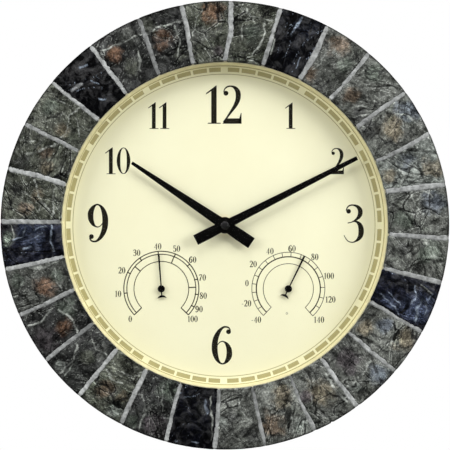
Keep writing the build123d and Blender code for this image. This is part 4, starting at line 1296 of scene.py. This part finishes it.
def screw_shape(head_height, length):
    """One screw; the middle of its head's face is the origin and its shank goes to -Y."""
    builder = bmesh.new()
    profile = [
        (0.84 * HEAD_RADIUS, 0.0),
        (HEAD_RADIUS, 0.25 * head_height),
        (HEAD_RADIUS, head_height),
        (SHANK_RADIUS, head_height),
        (SHANK_RADIUS, length - SHANK_RADIUS),
        (0.3 * SHANK_RADIUS, length),
    ]
    rings = turned_rings(builder, profile, SCREW_SIDES)
    skin(builder, rings, closed=True)
    builder.faces.new(rings[-1])
    arm, side = 0.52 * HEAD_RADIUS, 0.12 * HEAD_RADIUS
    quarter = [(arm, -side), (arm, side), (side, side)]
    cross = []
    for _ in range(4):
        cross += quarter
        quarter = [(-z, x) for x, z in quarter]
    upper = [builder.verts.new((x, 0, z)) for x, z in cross]
    lower = [builder.verts.new((0.8 * x, -0.7 * head_height, 0.8 * z)) for x, z in cross]
    skin(builder, [upper, lower], closed=True)
    builder.faces.new(lower)
    open_edges = [edge for edge in builder.edges if len(edge.link_faces) == 1]
    bmesh.ops.triangle_fill(builder, edges=open_edges, use_beauty=True)
    bmesh.ops.recalc_face_normals(builder, faces=builder.faces)
    mesh = bpy.data.meshes.new("one_screw")
    builder.to_mesh(mesh)
    builder.free()
    return mesh


screw_tree, screw_in = new_tree(
    "screws round a circle",
    {
        "Count": 4,
        "Radius": LENS_BORE + 3.5 * MM,
        "First angle": 45.0,
        "Height": 0.0,
        "Depth": 0.0,
        "Finish": None,
    },
)
marks = step(screw_tree, "GeometryNodePoints", screw_in["Count"])[0]
which_screw = step(screw_tree, "GeometryNodeInputIndex")[0]
apart = sum_of(screw_tree, "DIVIDE", 360.0, screw_in["Count"])
screw_degrees = sum_of(screw_tree, "MULTIPLY_ADD", which_screw, apart, screw_in["First angle"])
screw_angle = sum_of(screw_tree, "RADIANS", screw_degrees)
placed_marks = round_axis(
    screw_tree, marks, screw_angle, screw_in["Radius"], screw_in["Depth"], up=screw_in["Height"]
)
screw_copies = copy_to(screw_tree, placed_marks, screw_in["Geometry"])
finish_tree(screw_tree, screw_copies, screw_in["Finish"])

plate_middle = (plate_low[2] + plate_high[2]) / 2
hanger_circle = {
    "Count": 2, "Radius": HANGER_HALF_PITCH, "First angle": 90.0, "Height": plate_middle
}
for node, head_height, circle in (
    ("pan_screws", 1.4 * MM, {}),
    ("hanger_screws", 1.1 * MM, hanger_circle),
):
    front, back = depth_of(node)
    values = {**circle, "Depth": back, "Finish": finishes["zinc_steel"]}
    screw_mesh = grow(node, screw_tree, values, screw_shape(head_height, front - back))
    place_piece(node + "_cross", screw_mesh, None, smooth=False, replaces=[node])

# %% [markdown]
# Two thin rings frame the blocks, and each small gauge has arcs of the same kind. A flat
# strip between two circles is all that these need, so one mesh function prints them all.

# %% Print thin arcs


def print_arc(builder, radius, line, start=0.0, end=360.0, centre=(0, 0, 0)):
    """A flat printed line on an arc, from one clock angle to another."""
    count = max(12, round((end - start) / 2.5))
    angles = [blend(start, end, k / count) for k in range(count + 1)]
    height = DIAL_FRONT + INK_HEIGHT
    rows = [
        [builder.verts.new(on_dial(radius + side * line / 2, at, height, centre)) for at in angles]
        for side in (-1, 1)
    ]
    skin(builder, rows)


chapter = bmesh.new()
print_arc(chapter, 120.4 * MM, 0.55 * MM, centre=(PRINT_SHIFT, 0, 0))
print_arc(chapter, 127.0 * MM, 0.6 * MM)
place_mesh("chapter_rings", chapter, gold_ink, smooth=False)
print("chapter rings at 120.4 and 127.0 mm")

# %% [markdown]
# A tick is a small bar that points at an axis. Its turn and length are stored on a point
# where the bar's middle goes, and a tree puts a bar on every point. The same tree serves
# both gauges, whose scales aren't even, because their coils don't turn evenly.

# %% Print the ticks of the gauges
tick_tree, tick_in = new_tree("scale ticks", {"Width": 0.4 * MM, "Ink": None})
bar = step(tick_tree, "GeometryNodeMeshGrid", 1.0, 1.0, 2, 2)[0]
turn_of_bar, length_of_bar = read_number(tick_tree, "turn"), read_number(tick_tree, "long")
bar_turn = step(tick_tree, "ShaderNodeCombineXYZ", math.pi / 2, turn_of_bar, 0.0)[0]
bar_size = step(tick_tree, "ShaderNodeCombineXYZ", tick_in["Width"], length_of_bar, 1.0)[0]
bars = copy_to(tick_tree, tick_in["Geometry"], bar, bar_turn, bar_size)
finish_tree(tick_tree, bars, tick_in["Ink"])


def tick_points(marks, centre):
    """Points for bars; each mark is (clock angle, inner radius, outer radius)."""
    mesh = bpy.data.meshes.new("tick_points")
    height = DIAL_FRONT + INK_HEIGHT
    middles = [on_dial((low + high) / 2, angle, height, centre) for angle, low, high in marks]
    mesh.from_pydata(middles, [], [])
    turns = mesh.attributes.new("turn", "FLOAT", "POINT")
    lengths = mesh.attributes.new("long", "FLOAT", "POINT")
    for k, (angle, low, high) in enumerate(marks):
        turns.data[k].value = math.radians(angle)
        lengths.data[k].value = high - low
    return mesh


def bars_between(low, high, angles):
    """Marks of one length, in millimetres from the gauge's axis."""
    return [(angle, low * MM, high * MM) for angle in angles]


HUMIDITY_MARKS = [-134, -97, -64, -35, -5, 22, 49, 75, 99, 119, 134]
HEAT_MARKS = [-137, -110, -82, -54, -24.6, 4.4, 37.4, 70.3, 105, 138]
heat_between = [(low + high) / 2 for low, high in zip(HEAT_MARKS, HEAT_MARKS[1:])]
humidity_bars = bars_between(27.0, 30.0, HUMIDITY_MARKS)
humidity_bars += bars_between(21.8, 27.5, (-50, 21.5, 87.4, -134, 134))
heat_bars = bars_between(25.5, 29.1, HEAT_MARKS + heat_between)
heat_bars += bars_between(20.0, 25.5, (-137, 138))
HUMIDITY_ARCS = ((29.9, 0.8), (27.5, 0.75), (21.8, 0.65))
HEAT_ARCS = ((29.1, 0.5), (25.5, 0.9), (20.0, 0.5))
scales = bmesh.new()
for gauge, marks, wide, arcs, first, last in (
    ("hygrometer", humidity_bars, 0.85, HUMIDITY_ARCS, -134, 134),
    ("thermometer", heat_bars, 0.5, HEAT_ARCS, -137, 138),
):
    centre = GAUGE_PLACES[gauge]
    values = {"Width": wide * MM, "Ink": scale_ink}
    ticks = grow(gauge + "_ticks", tick_tree, values, tick_points(marks, centre))
    place_piece(gauge + "_ticks", ticks, None, smooth=False)
    for radius, line in arcs:
        print_arc(scales, radius * MM, line * MM, first, last, centre)
place_mesh("gauge_scales", scales, scale_ink, smooth=False)

# %% [markdown]
# The hour figures are tall and narrow, with very thick upright strokes and hair-thin
# joins. No font that comes with Blender has this look, so each figure is drawn as ribbons:
# a smooth line through a few points, each with its own half width, and a round ball where
# a stroke ends. One unit is the figure's height.

# %% Draw the figures
STROKES = {
    "2": [
        [
            (0.035, 0.83, 0.012), (0.07, 0.92, 0.016), (0.15, 0.975, 0.02), (0.25, 0.98, 0.022),
            (0.34, 0.935, 0.045), (0.40, 0.85, 0.062), (0.418, 0.755, 0.067), (0.405, 0.63, 0.062),
            (0.34, 0.48, 0.05), (0.24, 0.33, 0.034), (0.12, 0.16, 0.022), (0.03, 0.04, 0.02),
        ]
    ],
    "3": [
        [
            (0.07, 0.84, 0.012), (0.11, 0.93, 0.016), (0.18, 0.975, 0.018), (0.26, 0.98, 0.02),
            (0.36, 0.945, 0.038), (0.425, 0.87, 0.056), (0.44, 0.79, 0.06), (0.42, 0.71, 0.054),
            (0.36, 0.63, 0.035), (0.27, 0.565, 0.018), (0.20, 0.535, 0.013), (0.11, 0.515, 0.011),
        ],
        [
            (0.24, 0.562, 0.012), (0.34, 0.55, 0.026), (0.42, 0.48, 0.052), (0.455, 0.38, 0.067),
            (0.46, 0.28, 0.07), (0.44, 0.18, 0.062), (0.38, 0.09, 0.04), (0.30, 0.035, 0.02),
            (0.23, 0.015, 0.014), (0.14, 0.035, 0.012), (0.07, 0.10, 0.011), (0.015, 0.20, 0.009),
        ],
    ],
    "6": [
        [
            (0.49, 0.88, 0.012), (0.45, 0.95, 0.02), (0.37, 0.977, 0.022), (0.29, 0.955, 0.028),
            (0.21, 0.88, 0.045), (0.14, 0.76, 0.062), (0.095, 0.62, 0.072), (0.08, 0.46, 0.076),
            (0.09, 0.31, 0.072), (0.13, 0.17, 0.056), (0.19, 0.07, 0.034), (0.26, 0.022, 0.02),
            (0.33, 0.03, 0.024), (0.40, 0.10, 0.05), (0.45, 0.2, 0.07), (0.462, 0.30, 0.073),
            (0.45, 0.41, 0.066), (0.40, 0.52, 0.045), (0.34, 0.58, 0.022), (0.27, 0.60, 0.014),
            (0.20, 0.565, 0.012), (0.14, 0.49, 0.010),
        ]
    ],
    "5": [
        [(0.10, 0.98, 0.014), (0.095, 0.75, 0.013), (0.09, 0.52, 0.012)],
        [
            (0.09, 0.53, 0.012), (0.17, 0.60, 0.018), (0.27, 0.61, 0.03), (0.38, 0.54, 0.056),
            (0.44, 0.42, 0.068), (0.45, 0.30, 0.07), (0.42, 0.16, 0.058), (0.33, 0.05, 0.03),
            (0.22, 0.015, 0.015), (0.12, 0.04, 0.012), (0.05, 0.12, 0.011),
        ],
    ],
    "7": [
        [
            (0.46, 0.9, 0.02), (0.36, 0.66, 0.03), (0.26, 0.42, 0.05), (0.2, 0.2, 0.065),
            (0.18, 0.0, 0.07),
        ],
    ],
    "8": [
        [
            (0.25, 0.98, 0.018), (0.14, 0.94, 0.035), (0.09, 0.84, 0.05), (0.10, 0.72, 0.052),
            (0.18, 0.62, 0.05), (0.30, 0.50, 0.06), (0.40, 0.36, 0.062), (0.42, 0.22, 0.056),
            (0.36, 0.08, 0.035), (0.25, 0.018, 0.018), (0.12, 0.06, 0.028), (0.05, 0.18, 0.036),
            (0.06, 0.32, 0.03), (0.15, 0.46, 0.018), (0.28, 0.60, 0.015), (0.38, 0.72, 0.02),
            (0.41, 0.84, 0.026), (0.36, 0.94, 0.022), (0.25, 0.98, 0.018),
        ]
    ],
}
BALLS = {
    "2": (0.095, 0.80, 0.064), "3": (0.135, 0.82, 0.06),
    "6": (0.44, 0.85, 0.062), "5": (0.09, 0.16, 0.055),
}
PLATES = {
    "1": [
        [(0.139, 0.015), (0.281, 0.015), (0.281, 1.0), (0.262, 1.0), (0.139, 0.88)],
        [(0.262, 1.0), (0.0, 0.80), (0.01, 0.77), (0.15, 0.865)],
        [(0.05, 0.0), (0.385, 0.0), (0.385, 0.026), (0.05, 0.026)],
    ],
    "2": [
        [(0.0, 0.0), (0.48, 0.0), (0.48, 0.14), (0.115, 0.14)],
        [(0.44, 0.0), (0.503, 0.0), (0.503, 0.28), (0.485, 0.28), (0.44, 0.12)],
    ],
    "4": [
        [(0.30, 0.015), (0.43, 0.015), (0.43, 1.0), (0.40, 1.0), (0.30, 0.86)],
        [(0.40, 1.0), (0.02, 0.30), (0.05, 0.27), (0.43, 0.94)],
        [(0.02, 0.265), (0.52, 0.265), (0.52, 0.305), (0.02, 0.305)],
        [(0.22, 0.0), (0.52, 0.0), (0.52, 0.026), (0.22, 0.026)],
    ],
    "5": [[(0.09, 0.86), (0.42, 0.86), (0.45, 0.99), (0.10, 0.99)]],
    "7": [
        [(0.04, 0.86), (0.46, 0.86), (0.48, 0.99), (0.06, 0.99)],
        [(0.03, 0.72), (0.055, 0.72), (0.09, 0.88), (0.05, 0.99)],
    ],
    "-": [[(0.02, 0.34), (0.28, 0.34), (0.28, 0.40), (0.02, 0.40)]],
}
WIDTHS = {
    "0": 0.51, "1": 0.385, "2": 0.503, "3": 0.53, "4": 0.54, "5": 0.52,
    "6": 0.54, "7": 0.49, "8": 0.5, "9": 0.54, "-": 0.3,
}
ROUND_STEPS = 48
BALL_STEPS = 20


def smooth_line(points, per_span=5):
    """Extra points on a smooth curve through all the given ones."""
    padded = [points[0], *points, points[-1]]

    def curve(p, q, r, s, t):
        rise, bend = 2 * p - 5 * q + 4 * r - s, 3 * q - p - 3 * r + s
        return 0.5 * (2 * q + (r - p) * t + rise * t**2 + bend * t**3)

    line = []
    for four in zip(padded, padded[1:], padded[2:], padded[3:]):
        for k in range(per_span):
            line.append(tuple(curve(*values, k / per_span) for values in zip(*four)))
    return [*line, tuple(points[-1])]


def ribbon(stroke, weight):
    """Outlines that fill a stroke to both sides of its line."""
    line = smooth_line(stroke)
    edges = []
    for k, (x, y, half) in enumerate(line):
        before, after = line[max(0, k - 1)], line[min(len(line) - 1, k + 1)]
        dx, dy = after[0] - before[0], after[1] - before[1]
        length = math.hypot(dx, dy) or 1
        half += weight
        out_x, out_y = dy / length * half, dx / length * half
        edges.append(((x - out_x, y + out_y), (x + out_x, y - out_y)))
    return [[a[0], a[1], b[1], b[0]] for a, b in zip(edges, edges[1:])]


def nought(weight):
    """Outlines of a tall round nought, thick at its sides and thin at top and bottom."""
    outlines = []
    for k in range(ROUND_STEPS):
        quad = []
        for turn, side in ((k, 1), (k, -1), (k + 1, -1), (k + 1, 1)):
            angle = math.tau * turn / ROUND_STEPS
            beside = abs(math.cos(angle))
            half = weight + 0.012 + 0.056 * beside**1.6
            x = 0.255 + (0.187 + side * half) * math.cos(angle)
            y = 0.5 + (0.482 + side * min(half, 0.018 + 0.03 * beside)) * math.sin(angle)
            quad.append((x, y))
        outlines.append(quad)
    return outlines


def figure_outlines(figure, weight=0.0):
    """Closed outlines that fill a figure, in units of its height."""
    if figure == "9":
        upright = figure_outlines("6", weight)
        return [[(WIDTHS["6"] - x, 1 - y) for x, y in outline] for outline in upright]
    if figure == "0":
        return nought(weight)
    outlines = list(PLATES.get(figure, []))
    for stroke in STROKES.get(figure, []):
        outlines += ribbon(stroke, weight)
    if figure in BALLS:
        x, y, size = BALLS[figure]
        turns = [math.tau * k / BALL_STEPS for k in range(BALL_STEPS)]
        outlines.append([(x + size * math.cos(t), y + size * math.sin(t)) for t in turns])
    return outlines


def print_figures(builder, figures, x, z, height, gap=0.045, weight=0.0):
    """Figures in a row, centred on a place on the dial; weight makes every line bolder."""
    total = sum(WIDTHS[figure] for figure in figures) + gap * (len(figures) - 1)
    start = -total / 2
    for figure in figures:
        for outline in figure_outlines(figure, weight):
            verts = [
                builder.verts.new(
                    (x + (start + u) * height, -DIAL_FRONT - INK_HEIGHT, z + (v - 0.5) * height)
                )
                for u, v in outline
            ]
            face = builder.faces.new(verts)
            face.normal_update()
            if face.normal.y > 0:
                face.normal_flip()
        start += WIDTHS[figure] + gap


HOURS = [
    ("12", -0.9, 96.1, 30.4),
    ("1", 52.1, 87.3, 20.9),
    ("2", 89.6, 51.1, 20.8),
    ("3", 102.6, 1.3, 30.7),
    ("6", -2.3, -95.6, 30.7),
    ("9", -101.1, 1.7, 30.7),
    ("10", -85.3, 51.4, 21.3),
    ("11", -52.7, 87.4, 21.2),
]
hours = bmesh.new()
for figures, x, z, height in HOURS:
    gap = 0.02 if figures == "11" else 0.045
    print_figures(hours, figures, x * MM, z * MM, height * MM, gap)
place_mesh("hour_figures", hours, figure_ink, smooth=False)
print("hour figures", [figures for figures, *rest in HOURS])

# %% [markdown]
# The gauges have the same figures, printed small. Each label's place is measured from its
# gauge's axis. A little ring stands for the degree.

# %% Print the labels of the gauges
LABEL_HEIGHT = 5.0 * MM
HUMIDITY_LABELS = [
    ("0", -24.8, -24.0), ("10", -34.5, -4.0), ("20", -31.5, 14.7), ("30", -19.7, 28.7),
    ("40", -2.9, 33.8), ("50", 12.1, 32.0), ("60", 24.9, 23.2), ("70", 32.7, 9.0),
    ("80", 33.4, -5.5), ("90", 30.0, -16.2), ("100", 24.9, -24.0),
]
HEAT_LABELS = [
    ("-40", -25.6, -24.6), ("-20", -33.4, -11.6), ("0", -33.0, 4.5), ("20", -28.0, 19.7),
    ("40", -14.7, 30.0), ("60", 2.9, 32.1), ("80", 21.1, 25.4), ("100", 32.3, 10.3),
    ("120", 33.5, -8.5), ("140", 24.4, -24.6),
]
labels = bmesh.new()
for gauge, entries in (("hygrometer", HUMIDITY_LABELS), ("thermometer", HEAT_LABELS)):
    centre = GAUGE_PLACES[gauge]
    for figures, right, up in entries:
        x, z = centre[0] + right * MM, centre[2] + up * MM
        print_figures(labels, figures, x, z, LABEL_HEIGHT, 0.09, 0.022)
heat_centre = GAUGE_PLACES["thermometer"]
degree_centre = (heat_centre[0] - 1.2 * MM, 0, heat_centre[2] - 19.6 * MM)
print_arc(labels, 0.7 * MM, 0.3 * MM, 0, 360, degree_centre)
place_mesh("gauge_labels", labels, scale_ink, smooth=False)
print("labels", len(HUMIDITY_LABELS) + len(HEAT_LABELS))

# %% [markdown]
# Hands, pointers, nuts and plates already have their true shapes in the construction, but
# with sharp machine edges. A real edge catches a line of light. One function copies such a
# piece, joins its loose triangles, rounds its edges a little and puts it in the old place.
# The cap over the hands is a small dome, turned from a quarter of an ellipse.

# %% Round the edges of carried pieces
SAME_PLACE = 1e-6


def soften(node, slot, body, edge, steps=2, angle=35):
    """A copy of a construction piece with small rounded edges."""
    builder = bmesh.new()
    builder.from_mesh(frame["nodes"][node].data)
    bmesh.ops.remove_doubles(builder, verts=builder.verts, dist=SAME_PLACE)
    flat = math.radians(1.0)
    bmesh.ops.dissolve_limit(
        builder, angle_limit=flat, verts=builder.verts, edges=builder.edges
    )
    sharp = [
        each
        for each in builder.edges
        if len(each.link_faces) == 2 and each.calc_face_angle(0) > math.radians(angle)
    ]
    bmesh.ops.bevel(
        builder,
        geom=sharp,
        offset=edge,
        segments=steps,
        profile=0.5,
        affect="EDGES",
        clamp_overlap=True,
    )
    bmesh.ops.recalc_face_normals(builder, faces=builder.faces)
    place_mesh(node + "_finished", builder, finishes[slot], body, True, [node])


for node, slot, body, edge in (
    ("minute_hand", "hand_black", "minute_train", 0.1),
    ("hour_hand", "hand_black", "hour_train", 0.12),
    ("thermometer_pointer", "hand_black", "thermometer_needle", 0.06),
    ("hygrometer_pointer", "hand_black", "hygrometer_needle", 0.06),
    ("bushing_nut", "brass", "clock", 0.25),
    ("hanger_plate", "zinc_steel", "clock", 0.15),
    ("movement_case", "movement_plastic", "clock", 0.3),
    ("movement_cover", "movement_plastic", "clock", 0.2),
    ("set_knob", "movement_plastic", "knob", 0.2),
):
    soften(node, slot, body, edge * MM)

cap_low, cap_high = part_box("hand_cap_nut")
CAP_RADIUS, CAP_WALL, CAP_STEPS = cap_high[0], 0.5 * MM, 48
cap_back, cap_rise = -cap_high[1], cap_high[1] - cap_low[1] - CAP_WALL
arch = [math.radians(turn) for turn in range(0, 91, 10)]
dome = [
    (CAP_RADIUS * math.cos(turn), cap_back + CAP_WALL + cap_rise * math.sin(turn))
    for turn in arch
]
cap = turn_section([(0, cap_back), (CAP_RADIUS, cap_back)] + dome, CAP_STEPS)
bmesh.ops.remove_doubles(cap, verts=cap.verts, dist=SAME_PLACE)
bmesh.ops.recalc_face_normals(cap, faces=cap.faces)
place_mesh(
    "hand_cap_dome", cap, finishes["cap_black"], "minute_train", True, ["hand_cap_nut"]
)
print("rounded pieces done, cap radius", round(CAP_RADIUS / MM, 1), "mm")

# %% [markdown]
# What is left of the construction, such as wheels, coils, contacts and the glass, shows
# little or not at all, yet each piece still gets the finish that its slot asks for.

# %% Finish the rest of the construction
for entry in frame["record"]["subparts"]:
    piece = frame["nodes"][entry["node"]]
    piece.data.materials.clear()
    piece.data.materials.append(finishes[entry["material_slot"]])

# %% [markdown]
# The clock hangs in the air of a small studio. A pale floor lies below it and stays out of
# the picture. The background is white because the world is white where the camera looks or
# where glass and gloss mirror it; for the light on the object the world is much dimmer.

# %% Floor and world
ROOM_LIGHT = 0.11
floor_builder = bmesh.new()
bmesh.ops.create_grid(floor_builder, x_segments=1, y_segments=1, size=1.2)
floor_mesh = bpy.data.meshes.new("studio_floor")
floor_builder.to_mesh(floor_mesh)
floor_builder.free()
floor = bpy.data.objects.new("studio_floor", floor_mesh)
floor.location.z = -0.8
bpy.context.collection.objects.link(floor)
floor_mesh.materials.append(
    cloudy_finish("pale_floor", srgb(226, 226, 224), 0.02, 0.7, grain=60, depth=0.05, patch=4)
)

world = bpy.data.worlds.new("studio")
bpy.context.scene.world = world
world.use_nodes = True
sky = world.node_tree
background = sky.nodes["Background"]
background.inputs["Color"].default_value = (1, 1, 1, 1)
rays = step(sky, "ShaderNodeLightPath")
seen = rays["Is Camera Ray"]
for kind in ("Is Glossy Ray", "Is Transmission Ray"):
    seen = step(sky, "ShaderNodeMath", seen, rays[kind], operation="MAXIMUM")[0]
level = step(sky, "ShaderNodeMapRange", seen, 0.0, 1.0, ROOM_LIGHT, 1.0)["Result"]
sky.links.new(level, background.inputs["Strength"])
print("world light", ROOM_LIGHT)

# %% [markdown]
# The photograph's light is soft and comes from above and from both sides, a bit more from
# the right: each hand throws two faint shadows, and the dial darkens near the top of its
# ring. Three large lamps give that. A larger lamp makes a softer shadow.

# %% Lamps
LAMPS = (
    ("top_lamp", (0.1, -0.75, 1.25), 1.0, 13.7),
    ("right_lamp", (1.2, -0.72, 0.5), 0.7, 17.5),
    ("left_lamp", (-1.2, -0.72, 0.5), 0.8, 12.8),
)
for name, place, size, power in LAMPS:
    light = bpy.data.lights.new(name, "AREA")
    light.size = size
    light.energy = power
    lamp = bpy.data.objects.new(name, light)
    lamp.location = place
    lamp.rotation_euler = (-Vector(place)).to_track_quat("-Z", "Y").to_euler()
    bpy.context.collection.objects.link(lamp)
print("lamps", len(LAMPS))

# %% [markdown]
# The camera looks at the dial from straight ahead, far enough away that the clock hardly
# narrows towards its back. The lens is chosen so that the round rim just fills the square
# picture.

# %% Camera
CAMERA_DISTANCE = 1.6
PICTURE_WIDTH = 0.356
SENSOR_WIDTH = 36
camera_data = bpy.data.cameras.new("camera")
camera_data.sensor_width = SENSOR_WIDTH
camera_data.lens = SENSOR_WIDTH * CAMERA_DISTANCE / PICTURE_WIDTH
camera = bpy.data.objects.new("camera", camera_data)
bpy.context.collection.objects.link(camera)
aim = Vector((0.00012, -0.0335, 0.00021))
camera.location = aim + Vector((0, -CAMERA_DISTANCE, 0))
camera.rotation_euler = (aim - camera.location).to_track_quat("-Z", "Y").to_euler()
bpy.context.scene.camera = camera
bpy.context.scene.view_settings.view_transform = "Standard"
print("lens mm", round(camera_data.lens, 1))
